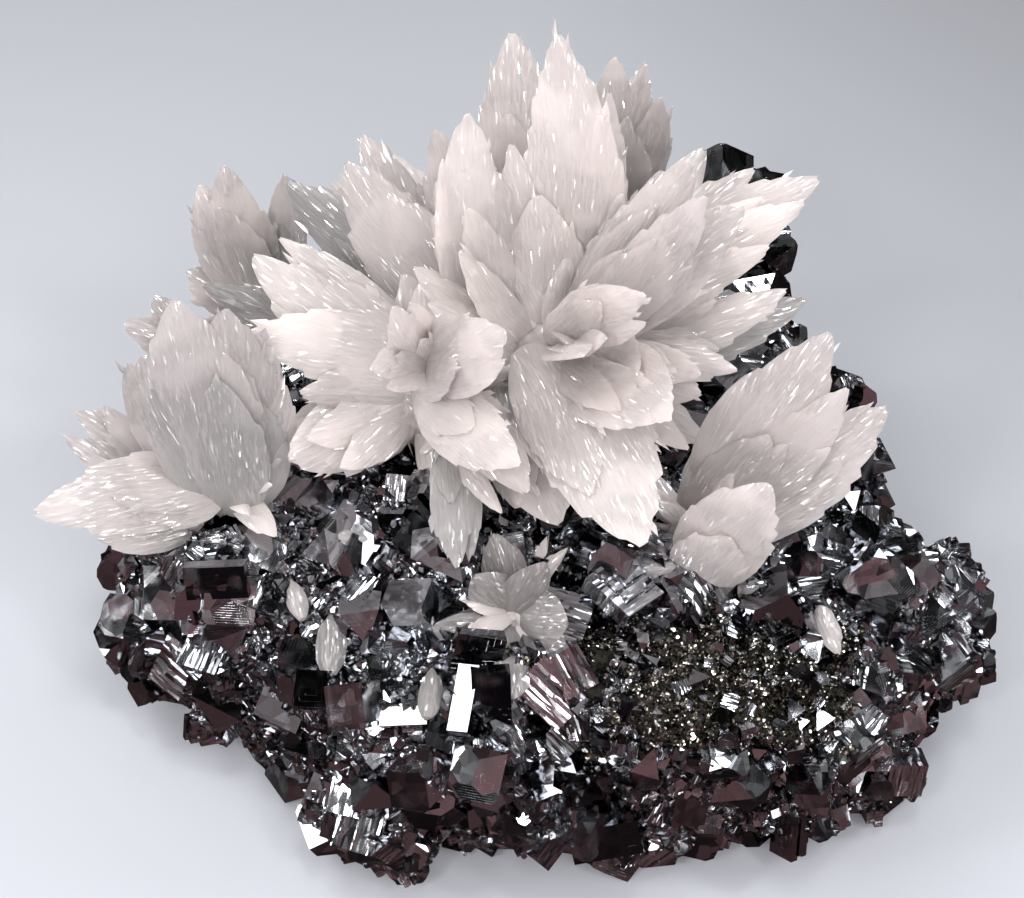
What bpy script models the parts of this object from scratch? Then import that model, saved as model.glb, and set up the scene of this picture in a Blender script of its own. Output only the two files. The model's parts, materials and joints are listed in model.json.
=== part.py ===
"""A cabinet mineral specimen: rosettes of bladed calcite grown on a lumpy plate of galena crystals.

The plate stands on its flat broken underside. Its frame has +Z up and its origin on that flat face, and the
side that the specimen is shown from looks towards -Y. Lengths in the tables are millimetres.
"""

import itertools
import math
import random

import bmesh
import bpy
from mathutils import Euler, Matrix, Quaternion, Vector, noise
from mathutils.bvhtree import BVHTree

MM = 0.001
GAP = 0.3  # clearance between two minerals that touch
DISPLAY_FACE = Vector((0.0, -0.64, 0.77))  # where the blades' broad faces look, unless a roll turns them
SEED = 11
NOISE_SEED = 1
NEARLY_ZERO = 0.1  # on a form of radius 1
AT_POLE = 1e-6

# The plate of galena.
PLATE_CENTRE = Vector((3.0, -3.0, 13.0))
PLATE_TOP = 17.0  # height of the crown above the centre
PLATE_BOTTOM = 17.0  # depth of the lumpy form under the centre, before the flat face cuts it
PLATE_SEGMENTS = 24
PLATE_RINGS = 9
PLATE_BOXINESS = 0.5
BACK_RISE = 0.05  # extra height of the top per millimetre to the back
LOBE_START = 20.0  # the right lobe: where it starts, its length, and how far it drops
LOBE_LENGTH = 25.0
LOBE_DROP = 7.0
LUMP_SIZE = 11.0
LUMP_HEIGHT = 2.0
# The plan of the plate: (azimuth in degrees, radius).
PLATE_PLAN = (
    (-180, 41), (-163, 40), (-153, 36), (-143, 34), (-120, 34), (-92, 30), (-68, 34), (-42, 39),
    (-22, 45), (-9, 41), (4, 32), (25, 32), (45, 37), (65, 38), (100, 33), (135, 36), (160, 39), (180, 41),
)  # fmt: skip

# The galena crystals on the plate.
CRYSTALS = 66
CRYSTAL_SIZES = (2.6, 5.2)  # half widths, smallest and largest
CRYSTAL_CORNERS = (1.0, 1.0, 0.0)  # how much of a cube's edge its cut-off corners leave
CRYSTAL_SINK = 0.25  # how far a crystal's middle lies under the plate's surface, in half widths
CRYSTAL_SPACING = 0.85  # least distance between two crystals, in half widths of both
CRYSTAL_FLATNESS = 0.55  # the flattest crystal's thickness, as a share of its width
CRYSTAL_TRIES = 20000  # places that are tried for the crystals, most of them too near another
CRYSTAL_AIM = ((0.0, 1.0), (-0.4, 1.0), (0.3, 0.7))  # mean and spread of their direction from the centre
OUTSIDE = Vector((90.0, 75.0, 60.0))  # half sizes of a form well outside the plate, where the search starts
CRYSTAL_LOWEST = 0.9  # least height above the flat face, in half widths
CRYSTAL_UNDERSIDE = -0.6  # faces whose normal points further down than this carry no crystal
LARGE_FLATNESS = 0.7
LARGE_CORNERS = 0.6

# Large galena crystals that show at the front: name, middle, half width, turns about x, y and z in degrees.
LARGE_CRYSTALS = (
    ("left_table", (-28.0, -17.0, 25.5), 3.6, (15, -20, 10)),
    ("front_mirror", (-4.0, -33.0, 23.0), 4.2, (50, 10, 5)),
    ("front_step", (-1.0, -26.0, 26.0), 3.4, (25, 5, 40)),
    ("under_tongue", (11.0, -20.0, 27.5), 4.0, (35, 15, 30)),
    ("right_mirror", (29.5, -2.5, 24.0), 3.8, (40, 20, 0)),
    ("low_mirror", (4.0, -35.0, 14.0), 3.6, (70, 0, 20)),
    ("rear_knob", (23.0, 24.0, 33.0), 4.2, (20, 30, 15)),
    ("right_end", (42.0, -16.0, 15.0), 4.4, (20, 40, 25)),
    ("crest", (-9.0, -13.0, 30.0), 3.6, (30, 20, 40)),
)

# Blades of calcite: (root), (tip), width, roll in degrees about their length.
ROSETTE_HEARTS = (
    ((3.5, 1.0, 37.0), (11.0, 9.5, 11.5)),
    ((-9.0, -2.0, 35.0), (9.0, 8.0, 10.0)),
)
ROSETTE = (
    ("top_spire", (4, 3, 40), (4, 5, 76), 9.5, 0),
    ("top_spire_shoulder", (5, 3, 40), (8, 5, 67), 7.0, 5),
    ("rear_spire", (2, 7, 40), (0, 13.5, 68), 7.0, -15),
    ("left_spire", (-1, 2, 40), (-4, 3, 68), 8.0, 5),
    ("rear_left_fan", (-5, 5, 38), (-14, 10.5, 58), 7.0, 10),
    ("rear_middle_fan", (-3, 6, 38), (-7, 7.5, 62), 6.5, -10),
    ("middle_ridge", (-3, 3, 40), (-6.5, 2.5, 63), 5.0, 40),
    ("upper_left_sail", (-4, 3, 40), (-15.5, 7.5, 58), 9.0, -15),
    ("far_left_sail", (-7, 6, 36), (-21.5, 15, 48), 9.0, -35),
    ("left_wing_upper", (-8, -2, 39), (-24, -1, 54), 7.5, 0),
    ("left_wing_fork", (-8, -1, 40), (-22, 4, 51), 4.0, 10),
    ("left_wing_middle", (-8, -2, 39), (-24.5, -6.5, 50), 7.5, -10),
    ("left_clear_blade", (-12, 3, 34), (-29.5, 4.5, 44), 5.5, -10),
    ("left_low_blade", (-10, -4, 38), (-20, -8, 43), 5.0, -25),
    ("left_skirt", (-9, -3, 36), (-21, -12, 38), 9.5, -20),
    ("left_spur_upper", (-7, -4, 42), (-13, -16, 55), 4.0, 0),
    ("left_bud", (-7, -4, 42), (-11, -12.5, 60), 4.5, 10),
    ("heart_lens", (-9, -4, 40), (0, -17.5, 62), 7.5, 0),
    ("lower_tongue_upper", (-9, -4, 39), (0.5, -22.5, 50), 7.0, 10),
    ("lower_tongue_under", (-8, -3, 36), (2, -20, 42), 6.0, 0),
    ("lower_skirt", (-1, -2, 37), (4.5, -19, 37), 9.0, 10),
    ("great_tongue", (2, -2, 42), (12, -29.5, 46), 11.5, 0),
    ("glint_blade_inner", (4, -3, 42), (13, -21.5, 54), 6.0, 0),
    ("glint_blade_outer", (8, -2, 42), (14, -23, 56), 6.5, 5),
    ("right_spur_upper", (10, -2, 42), (17, -12, 50), 4.0, 0),
    ("right_spur_long", (10, -1, 40), (21, -8, 46), 4.0, 10),
    ("right_spur_lower", (10, -1, 38), (18, -7.5, 42), 4.5, 0),
    ("heart_spur_right", (4, -2, 43), (11.5, -13.5, 62), 5.5, 10),
    ("heart_spur_front", (5, -2, 43), (6, -20, 62), 5.0, -10),
    ("right_crown_upper", (6, 1, 42), (16.5, -0.5, 66), 7.5, 0),
    ("right_crown_middle", (7, 0, 42), (17, -7, 68), 6.5, 5),
    ("right_crown_lower", (8, 0, 42), (21, -2.5, 62), 7.0, 0),
    ("right_wing_upper", (8, 5, 40), (29, 9, 54), 8.0, 0),
    ("right_wing_middle", (8, 3, 41), (27.5, 6, 54), 6.0, 10),
    ("right_wing_notch", (9, 1, 40), (24, 2, 52), 5.0, 15),
    ("right_wing_low", (8, 0, 39), (26, 2, 46), 5.5, 0),
    ("right_wing_lowest", (8, 1, 37), (28.5, 6, 40), 6.5, -10),
    ("rear_sparkle_blade", (6, 6, 38), (9, 12, 62), 4.5, 0),
    ("rear_skirt_left", (-4, 6, 36), (-12, 22, 44), 8.0, 20),
    ("rear_skirt_middle", (3, 7, 36), (2, 25, 48), 8.5, -10),
    ("rear_skirt_right", (8, 6, 36), (19, 21, 46), 8.0, 15),
    ("hanging_blade", (-5, -6, 37), (-5, -25.5, 38), 4.5, 0),
)  # fmt: skip
REAR_FAN_HEARTS = (((11.0, 23.0, 33.0), (4.5, 3.5, 5.0)),)
REAR_FAN = (
    ("fan_left", (11, 24, 33), (10, 23.5, 56), 6.0, 0),
    ("fan_middle", (11, 24, 33), (13, 23.5, 55), 5.5, 0),
    ("fan_right", (12, 24, 33), (14.5, 23, 52), 4.5, 10),
)
REAR_LEFT_HEARTS = (((-25.0, 16.5, 28.0), (5.0, 4.0, 4.5)),)
REAR_LEFT = (
    ("tall_blade", (-25, 17, 28), (-28, 16, 49), 6.5, 0),
    ("outer_blade", (-26, 17, 28), (-31, 17.5, 45), 6.0, 10),
    ("low_spur", (-26, 17, 28), (-31.5, 18.5, 38), 3.5, 0),
    ("inner_blade", (-24, 18, 28), (-22, 18, 46), 5.0, -20),
    ("blunt_blade", (-26, 16, 27), (-33, 16, 34), 4.5, 10),
)
LEFT_BUD_HEARTS = (((-31.5, 11.5, 24.5), (3.2, 3.0, 3.2)),)
LEFT_BUD = (
    ("upper_blade", (-31, 12, 25), (-36, 12.5, 34), 4.5, 0),
    ("long_blade", (-31, 12, 25), (-39, 10.5, 32), 4.5, 0),
)
LEFT_FRONT_HEARTS = (((-29.0, -9.0, 29.5), (7.0, 4.5, 5.5)),)
LEFT_FRONT = (
    ("great_shell", (-27, -11, 29), (-30, -11, 58), 11.5, 0),
    ("right_shell", (-26, -10, 28), (-26, -8.5, 56), 10.0, 10),
    ("right_leaf", (-25, -10, 29), (-22, -8, 46), 6.5, 15),
    ("left_shell", (-31, -8, 29), (-34, -7.5, 48), 8.5, -15),
    ("feather_inner", (-32, -8, 29), (-39, -5.5, 38), 4.0, 0),
    ("feather_outer", (-33, -8, 29), (-42, -4.5, 36), 4.2, 10),
    ("feather_low", (-33, -9, 29), (-43, -5.5, 33), 3.5, 0),
    ("long_point", (-27, -9, 31), (-44.5, -17, 36), 8.0, 0),
    ("under_point", (-30, -11, 28), (-40, -13, 27), 4.5, 0),
)
RIGHT_FRONT_HEARTS = (((17.5, -14.0, 29.0), (5.0, 4.5, 5.5)),)
RIGHT_FRONT = (
    ("upper_sail", (17, -13, 28), (28.5, -11, 54), 9.5, 0),
    ("middle_sail", (18, -13, 29), (30.5, -13.5, 50), 6.5, 10),
    ("lower_sail", (18, -14, 29), (35, -11, 44), 9.5, -5),
    ("front_lump", (17, -18, 27), (23, -22, 46), 9.0, 0),
)
LOWER_HEARTS = (((0.5, -22.5, 28.0), (4.0, 4.0, 4.5)),)
LOWER = (
    ("top_prism", (0, -22, 28), (-1.5, -19.5, 36), 4.5, 0),
    ("slanted_prism", (0, -23, 28), (3, -23, 36), 4.5, 20),
    ("right_leaf", (1, -23, 28), (5, -27, 32), 6.0, 0),
    ("far_right_leaf", (1, -24, 27), (5, -28.5, 29), 5.0, 10),
    ("bottom_leaf", (0, -24, 27), (0, -32.5, 28), 6.5, 0),
    ("left_leaf", (0, -22, 28), (-3.5, -23.5, 35), 5.0, -10),
)
# Single crystals of calcite that lie on the plate: (x, y), (lean along x, lean along y), length, width.
LOOSE_CRYSTALS = {
    "lens_crystal_centre": ((-6.3, -25.0), (1.0, 0.1), 7.0, 3.4),
    "lens_crystal_front": ((-7.6, -32.0), (0.1, 0.9), 5.0, 3.0),
    "lens_crystal_left": ((-17.2, -25.0), (0.0, 1.0), 6.6, 3.4),
    "lens_crystal_rim": ((-15.5, -15.0), (1.0, -0.2), 4.0, 2.6),
    "lens_crystal_pink": ((-20.5, -20.5), (-0.3, 1.0), 4.2, 3.2),
    "block_crystal_right": ((30.0, -23.5), (-0.3, 0.9), 5.2, 3.4),
    "block_crystal_centre": ((13.0, -19.8), (1.0, 0.2), 4.6, 3.0),
}
LOOSE_LIFT = 0.6  # how far a single crystal's middle stands above the plate
LOOSE_SLOPE = 0.15  # how much it rises towards its far end
LOOSE_THICKNESS = 0.6  # as a share of its width
LARGE_HEART = 8.0  # from this radius on, the middle of a cluster is made finer
HEART_LUMP = 0.12  # how lumpy it is, as a share of its radius
HEART_LUMPS = 1.7  # how close together its lumps are
BLADE_THICKNESS = 0.24  # a blade's thickness, as a share of its width
BLADE_BEND = 0.05  # sideways bend, as a share of its length
BLADE_UNEVEN = 0.14  # how much wider one half may be than the other
BLADE_STAGGER = 0.3  # how far the wider half is shifted to the tip
BLADE_FULLNESS = 0.7  # how much of its thickness a blade keeps towards its ends
# A blade's pocket is cut with a larger blade. Its corners are sharp, so they move further than its faces.
POCKET_WIDTH = 1.6
POCKET_DEPTH = 1.2
# A blade from root to tip: (share of its length, share of its width).
BLADE_OUTLINE = (
    (0.0, 0.0), (0.1, 0.55), (0.36, 0.9), (0.62, 1.0), (0.86, 0.62), (1.0, 0.0),
)  # fmt: skip

# The patch of fine brown crystals in a shallow hollow at the front.
DRUSE_CENTRE = (18.5, -29.0)
DRUSE_SIZE = Vector((13.5, 6.3, 1.8))
DRUSE_SEGMENTS = 18
DRUSE_RINGS = 8
DRUSE_UNEVEN = 0.35  # how uneven its outline is, as a share of its size
DRUSE_OUTLINE = 2.2  # how close together the bays of its outline are
DRUSE_LUMP = 1.6  # height of its lumps
DRUSE_LUMPS = (9.0, 4.0)  # how close together its lumps are, along x and y
DRUSE_TILT = (12, 8, -6)  # turns about x, y and z in degrees

FAR = 200.0  # a length well beyond the specimen

COLOURS = {
    "galena": ((0.30, 0.31, 0.33), 0.16, 1.0),
    "calcite": ((0.86, 0.80, 0.79), 0.30, 0.0),
    "druse": ((0.12, 0.10, 0.07), 0.35, 0.3),
}


def clear_scene():
    for obj in list(bpy.data.objects):
        bpy.data.objects.remove(obj, do_unlink=True)


def make_material(name):
    colour, roughness, metallic = COLOURS[name]
    material = bpy.data.materials.new(name)
    material.use_nodes = True
    shader = material.node_tree.nodes["Principled BSDF"]
    shader.inputs["Base Color"].default_value = (*colour, 1.0)
    shader.inputs["Roughness"].default_value = roughness
    shader.inputs["Metallic"].default_value = metallic
    return material


def make_collection(name, hidden=False):
    collection = bpy.data.collections.new(name)
    bpy.context.scene.collection.children.link(collection)
    collection.hide_render = hidden
    return collection


def add_object(name, bm, collection, material=None):
    """Turns a bmesh in millimetres into an object in metres, with flat faces only."""
    bmesh.ops.triangulate(bm, faces=bm.faces)
    bmesh.ops.scale(bm, vec=(MM, MM, MM), verts=bm.verts)
    mesh = bpy.data.meshes.new(name)
    bm.to_mesh(mesh)
    bm.free()
    obj = bpy.data.objects.new(name, mesh)
    collection.objects.link(obj)
    if material:
        mesh.materials.append(material)
    if collection.hide_render:
        obj.hide_render = True
        obj.display_type = "WIRE"
    return obj


def plan_radius(azimuth):
    """Radius of the plate in a direction, blended smoothly between the points of its plan."""
    for (low, first), (high, second) in zip(PLATE_PLAN, PLATE_PLAN[1:]):
        if azimuth <= high:
            share = (azimuth - low) / (high - low)
            share = share * share * (3 - 2 * share)
            return first + (second - first) * share
    return PLATE_PLAN[-1][1]


def plate_bmesh():
    """A sphere pulled out to the plate's plan, boxy in height, and lumpy all over."""
    bm = bmesh.new()
    bmesh.ops.create_uvsphere(bm, u_segments=PLATE_SEGMENTS, v_segments=PLATE_RINGS, radius=1.0)
    for vert in bm.verts:
        x, y, z = vert.co
        level = math.hypot(x, y)
        reach = plan_radius(math.degrees(math.atan2(y, x))) * level**PLATE_BOXINESS
        height = math.copysign(abs(z) ** PLATE_BOXINESS, z)
        flat = Vector((x, y, 0)).normalized() * reach if level > AT_POLE else Vector()
        vert.co = PLATE_CENTRE + flat + Vector((0, 0, height * (crown(flat) if z > 0 else PLATE_BOTTOM)))
        vert.co += noise.noise_vector(vert.co / LUMP_SIZE) * LUMP_HEIGHT
    return bm


def crown(flat):
    """Height of the top above the centre: lower out on the right lobe, higher at the back."""
    lobe = max(0.0, flat.x - LOBE_START) / LOBE_LENGTH
    return PLATE_TOP + BACK_RISE * flat.y - LOBE_DROP * lobe


def crystal_bmesh(half, flatness, turn, centre, corner):
    """One galena crystal: a cube whose corners are cut off by the octahedron's faces."""
    bm = bmesh.new()
    points = set()
    for signs in itertools.product((1, -1), repeat=3):
        for axis in range(3):
            point = list(signs)
            point[axis] *= corner
            points.add(tuple(point))
    for point in sorted(points):
        bm.verts.new(point)
    hull = bmesh.ops.convex_hull(bm, input=bm.verts)
    bmesh.ops.delete(bm, geom=hull["geom_interior"] + hull["geom_unused"], context="VERTS")
    size = Vector((half, half, half * flatness))
    bmesh.ops.transform(bm, matrix=Matrix.LocRotScale(centre, turn, size), verts=bm.verts)
    bmesh.ops.recalc_face_normals(bm, faces=bm.faces)
    return bm


def surface_tree(bm):
    bm.normal_update()
    return BVHTree.FromBMesh(bm)


def on_top(tree, x, y):
    """The point of the plate's top above a place in plan, in millimetres."""
    return tree.ray_cast(Vector((x, y, FAR)), Vector((0, 0, -1)))[0]


def scatter(tree, rng):
    """Places for the galena crystals all round the plate, none too near another: (centre, half width)."""
    small, large = CRYSTAL_SIZES
    chosen = []
    for _ in range(CRYSTAL_TRIES):
        way = Vector([rng.gauss(mean, spread) for mean, spread in CRYSTAL_AIM]).normalized()
        start = PLATE_CENTRE + way * OUTSIDE
        spot, normal, _, _ = tree.ray_cast(start, (PLATE_CENTRE - start).normalized())
        half = small + (large - small) * rng.random() ** 2
        if spot is None or spot.z < half * CRYSTAL_LOWEST or normal.z < CRYSTAL_UNDERSIDE:
            continue
        if all((spot - other).length > CRYSTAL_SPACING * (half + size) for other, size in chosen):
            chosen.append((spot - way * half * CRYSTAL_SINK, half))
        if len(chosen) == CRYSTALS:
            break
    return chosen


def grown_blade(bm, root, tip, width, thickness, roll, rng, grow=0.0):
    """Adds one blade: four-sided in section and leaf-shaped in outline, its edges stepped near the tip."""
    root, tip = Vector(root), Vector(tip)
    along = (tip - root).normalized()
    length = (tip - root).length + 2 * grow
    facing = (DISPLAY_FACE - along * DISPLAY_FACE.dot(along)).normalized()
    facing.rotate(Quaternion(along, math.radians(roll)))
    side = along.cross(facing)
    bend = rng.uniform(-BLADE_BEND, BLADE_BEND)
    uneven = abs(rng.uniform(-BLADE_UNEVEN, BLADE_UNEVEN))
    half = width / 2 + POCKET_WIDTH * grow
    depth = thickness / 2 + POCKET_DEPTH * grow
    start = root - along * grow
    rings = len(BLADE_OUTLINE) - 1
    made = bmesh.ops.create_uvsphere(bm, u_segments=4, v_segments=rings, radius=1.0)
    for vert in made["verts"]:
        x, y, z = vert.co
        ring = round(math.acos(max(-1.0, min(1.0, z))) / math.pi * rings)
        share, body = BLADE_OUTLINE[ring]
        edge = sign_of(x)
        across = half * body * (edge + uneven * abs(edge))
        share += uneven * edge * BLADE_STAGGER * body
        sway = bend * length * math.sin(math.pi * share)
        deep = depth * body**BLADE_FULLNESS * sign_of(y)
        vert.co = start + along * (share * length) + side * (across + sway) + facing * deep


def sign_of(number):
    """1 or -1, or 0 for what is nearly zero."""
    return (number > NEARLY_ZERO) - (number < -NEARLY_ZERO)


def heart_bmesh(centre, radii, grow=0.0):
    bm = bmesh.new()
    bmesh.ops.create_icosphere(bm, subdivisions=2 if radii[0] > LARGE_HEART else 1, radius=1.0)
    for vert in bm.verts:
        lump = 1.0 + HEART_LUMP * noise.noise(vert.co * HEART_LUMPS + Vector(centre))
        for axis in range(3):
            vert.co[axis] = centre[axis] + vert.co[axis] * (radii[axis] * lump + grow)
    return bm


def combined(name, first, others, operation, collection, material):
    """Joins the other bodies to the first, or cuts them from it, and keeps its largest body."""
    made = add_object(name, first, collection, material)
    scratch = make_collection(name + "_scratch", hidden=True)
    for number, bm in enumerate(others):
        add_object(f"{name}_{number}", bm, scratch)
    boolean = made.modifiers.new("combine", "BOOLEAN")
    boolean.solver = "EXACT"
    boolean.operation = operation
    boolean.operand_type = "COLLECTION"
    boolean.collection = scratch
    bpy.context.view_layer.update()
    graph = bpy.context.evaluated_depsgraph_get()
    mesh = bpy.data.meshes.new_from_object(made.evaluated_get(graph))
    made.modifiers.clear()
    made.data = mesh
    for obj in list(scratch.objects):
        bpy.data.objects.remove(obj, do_unlink=True)
    bpy.data.collections.remove(scratch)
    keep_largest_body(made.data)
    return made


def keep_largest_body(mesh):
    """Deletes the chips that a cut has left loose."""
    bm = bmesh.new()
    bm.from_mesh(mesh)
    left = set(bm.faces)
    bodies = []
    while left:
        front = [left.pop()]
        body = list(front)
        while front:
            for edge in front.pop().edges:
                for face in edge.link_faces:
                    if face in left:
                        left.remove(face)
                        front.append(face)
                        body.append(face)
        bodies.append(body)
    bodies.sort(key=len)
    chips = [face for body in bodies[:-1] for face in body]
    bmesh.ops.delete(bm, geom=chips, context="FACES")
    bm.to_mesh(mesh)
    bm.free()


def cluster_bodies(hearts, blades, grow=0.0):
    """The hearts and blades of one cluster, each a closed body of its own."""
    rng = random.Random(SEED)
    bodies = [heart_bmesh(centre, radii, grow) for centre, radii in hearts]
    for _, root, tip, width, roll in blades:
        bm = bmesh.new()
        grown_blade(bm, root, tip, width, width * BLADE_THICKNESS, roll, rng, grow)
        bodies.append(bm)
    return bodies


def loose_body(tree, place, lean, length, width, grow=0.0):
    """A single stubby crystal, its middle a little above the plate."""
    rng = random.Random(SEED)
    middle = on_top(tree, *place) + Vector((0, 0, LOOSE_LIFT))
    half = Vector((*lean, LOOSE_SLOPE)).normalized() * length / 2
    bm = bmesh.new()
    grown_blade(bm, middle - half, middle + half, width, width * LOOSE_THICKNESS, 0, rng, grow)
    return bm


def druse_bmesh(tree, grow=0.0):
    """A low lumpy pad of uneven outline, let into the plate's surface."""
    middle = on_top(tree, *DRUSE_CENTRE)
    tilt = Euler([math.radians(angle) for angle in DRUSE_TILT]).to_matrix()
    bm = bmesh.new()
    bmesh.ops.create_uvsphere(bm, u_segments=DRUSE_SEGMENTS, v_segments=DRUSE_RINGS, radius=1.0)
    for vert in bm.verts:
        x, y, z = vert.co
        outline = 1.0 + DRUSE_UNEVEN * noise.noise(Vector((x, y, 0)) * DRUSE_OUTLINE)
        lump = 0.0
        if z > NEARLY_ZERO:
            lump = DRUSE_LUMP * noise.noise(Vector((x * DRUSE_LUMPS[0], y * DRUSE_LUMPS[1], 0)))
        size = [DRUSE_SIZE.x * outline + grow, DRUSE_SIZE.y * outline + grow, DRUSE_SIZE.z + grow]
        vert.co = middle + tilt @ Vector((x * size[0], y * size[1], z * size[2] + lump))
    return bm


def main():
    clear_scene()
    noise.seed_set(NOISE_SEED)
    specimen = make_collection("calcite_on_galena")
    materials = {name: make_material(name) for name in COLOURS}
    rng = random.Random(SEED)

    plate = plate_bmesh()
    plate_tree = surface_tree(plate)
    crystals = []
    for spot, half in scatter(plate_tree, rng):
        turn = Quaternion([rng.gauss(0, 1) for _ in range(4)]).normalized()
        flatness = rng.uniform(CRYSTAL_FLATNESS, 1.0)
        crystals.append(crystal_bmesh(half, flatness, turn, spot, rng.choice(CRYSTAL_CORNERS)))
    for _, middle, half, turns in LARGE_CRYSTALS:
        turn = Euler([math.radians(angle) for angle in turns]).to_quaternion()
        crystals.append(crystal_bmesh(half, LARGE_FLATNESS, turn, Vector(middle), LARGE_CORNERS))
    galena = combined("galena_matrix", plate, crystals, "UNION", specimen, materials["galena"])

    bm = bmesh.new()
    bm.from_mesh(galena.data)
    bmesh.ops.scale(bm, vec=(1 / MM, 1 / MM, 1 / MM), verts=bm.verts)
    galena_tree = surface_tree(bm)

    clusters = {
        "calcite_rosette": (ROSETTE_HEARTS, ROSETTE),
        "calcite_rear_fan": (REAR_FAN_HEARTS, REAR_FAN),
        "calcite_rear_left_cluster": (REAR_LEFT_HEARTS, REAR_LEFT),
        "calcite_left_bud": (LEFT_BUD_HEARTS, LEFT_BUD),
        "calcite_left_front_cluster": (LEFT_FRONT_HEARTS, LEFT_FRONT),
        "calcite_right_front_cluster": (RIGHT_FRONT_HEARTS, RIGHT_FRONT),
        "calcite_lower_cluster": (LOWER_HEARTS, LOWER),
    }
    cutters = []
    for name, (hearts, blades) in clusters.items():
        first, *others = cluster_bodies(hearts, blades)
        combined(name, first, others, "UNION", specimen, materials["calcite"])
        cutters += cluster_bodies(hearts, blades, GAP)
    for name, (place, lean, length, width) in LOOSE_CRYSTALS.items():
        add_object(name, loose_body(galena_tree, place, lean, length, width), specimen, materials["calcite"])
        cutters.append(loose_body(galena_tree, place, lean, length, width, GAP))
    add_object("brown_druse", druse_bmesh(galena_tree), specimen, materials["druse"])
    cutters.append(druse_bmesh(galena_tree, GAP))
    below = bmesh.new()
    bmesh.ops.create_cube(below, size=FAR, matrix=Matrix.Translation((0, 0, -FAR / 2)))
    cutters.append(below)

    bpy.data.objects.remove(galena)
    combined("galena_matrix", bm, cutters, "DIFFERENCE", specimen, materials["galena"])


main()
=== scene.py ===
# %% [markdown]
# # Calcite on galena
#
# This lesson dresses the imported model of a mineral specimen: milky blades of calcite in rosettes on a plate
# of mirror-bright galena crystals. Each cell makes one thing and prints what it made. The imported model
# fixes where everything stands and how big it is, and this script gives the surfaces: thousands of small
# crystals, the fine striped and toothed blades, and the light that makes galena glitter.

# %% Load the frame
import json
import math
import random

import bmesh
import bpy
import numpy as np
from mathutils import Matrix, Vector
from mathutils.bvhtree import BVHTree

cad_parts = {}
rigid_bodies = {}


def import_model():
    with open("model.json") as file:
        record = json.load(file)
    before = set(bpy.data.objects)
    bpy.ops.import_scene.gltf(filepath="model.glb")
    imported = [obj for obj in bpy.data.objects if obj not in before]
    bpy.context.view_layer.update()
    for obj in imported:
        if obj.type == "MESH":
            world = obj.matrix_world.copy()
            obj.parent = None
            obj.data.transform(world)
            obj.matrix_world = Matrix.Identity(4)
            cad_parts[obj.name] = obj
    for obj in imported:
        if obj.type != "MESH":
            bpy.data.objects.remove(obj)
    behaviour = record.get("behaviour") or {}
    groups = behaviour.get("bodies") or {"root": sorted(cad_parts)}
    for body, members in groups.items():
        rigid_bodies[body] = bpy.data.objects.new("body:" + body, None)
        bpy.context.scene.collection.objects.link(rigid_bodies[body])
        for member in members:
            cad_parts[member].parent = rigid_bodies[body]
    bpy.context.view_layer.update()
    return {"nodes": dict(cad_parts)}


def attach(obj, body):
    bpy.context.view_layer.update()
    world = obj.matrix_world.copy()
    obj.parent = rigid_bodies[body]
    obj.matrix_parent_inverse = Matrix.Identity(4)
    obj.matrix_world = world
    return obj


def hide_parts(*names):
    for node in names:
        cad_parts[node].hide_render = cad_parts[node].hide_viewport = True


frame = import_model()
cad = frame["nodes"]
MM = 0.001


def new_object(name, data, collection=None):
    """An object around a mesh, a lamp or a camera, in a collection or in the scene itself."""
    made = bpy.data.objects.new(name, data)
    (collection or bpy.context.scene.collection).objects.link(made)
    return made


# %% [markdown]
# ## The camera
#
# The specimen is seen from in front and well above, so that the rosettes face the viewer. A long lens keeps
# the perspective flat, as in a close-up photograph. Ten pixels show about one millimetre.

# %% Place the camera
CAMERA_TARGET = Vector((0, 0, 25)) * MM
CAMERA_DISTANCE = 300 * MM
CAMERA_ELEVATION = math.radians(50)
PICTURE_WIDTH = 1024
FOCAL_PIXELS = 3000

camera_data = bpy.data.cameras.new("camera")
camera_data.sensor_width = 36
camera_data.lens = camera_data.sensor_width * FOCAL_PIXELS / PICTURE_WIDTH
camera_data.clip_start = 0.01
camera = new_object("camera", camera_data)
camera_way = Vector((0, -math.cos(CAMERA_ELEVATION), math.sin(CAMERA_ELEVATION)))
camera.location = CAMERA_TARGET + camera_way * CAMERA_DISTANCE
camera.rotation_euler = (-camera_way).to_track_quat("-Z", "Y").to_euler()
bpy.context.scene.camera = camera
print("camera: lens", round(camera_data.lens, 1), "mm")

# %% [markdown]
# ## Node trees from Python
#
# Materials and Geometry Nodes are both node trees. `Tree.node` adds a node: it takes the node's type, its
# settings and the values or wires of its sockets. It gives back a `Node`, whose outputs are read by name as
# `Value`s. A `Value` knows Python's arithmetic, so `1 - mask * 0.5` adds the Math nodes by itself.


# %% Wrap node trees
class Value:
    """A number on a wire of a node tree, with Python's arithmetic."""

    def __init__(self, tree, socket):
        self.tree = tree
        self.socket = socket

    def math(self, operation, *terms):
        return self.tree.node("ShaderNodeMath", {"operation": operation}, dict(enumerate(terms)))["Value"]

    def __add__(self, other):
        return self.math("ADD", self, other)

    def __sub__(self, other):
        return self.math("SUBTRACT", self, other)

    def __rsub__(self, other):
        return self.math("SUBTRACT", other, self)

    def __mul__(self, other):
        return self.math("MULTIPLY", self, other)

    def __truediv__(self, other):
        return self.math("DIVIDE", self, other)

    def __pow__(self, other):
        return self.math("POWER", self, other)

    __radd__ = __add__
    __rmul__ = __mul__


class Node:
    """A node in a tree. node["Name"] is one of its outputs."""

    def __init__(self, tree, node):
        self.tree = tree
        self.node = node

    def __getitem__(self, name):
        return Value(self.tree, next(s for s in self.node.outputs if s.name == name and s.enabled))


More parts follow.
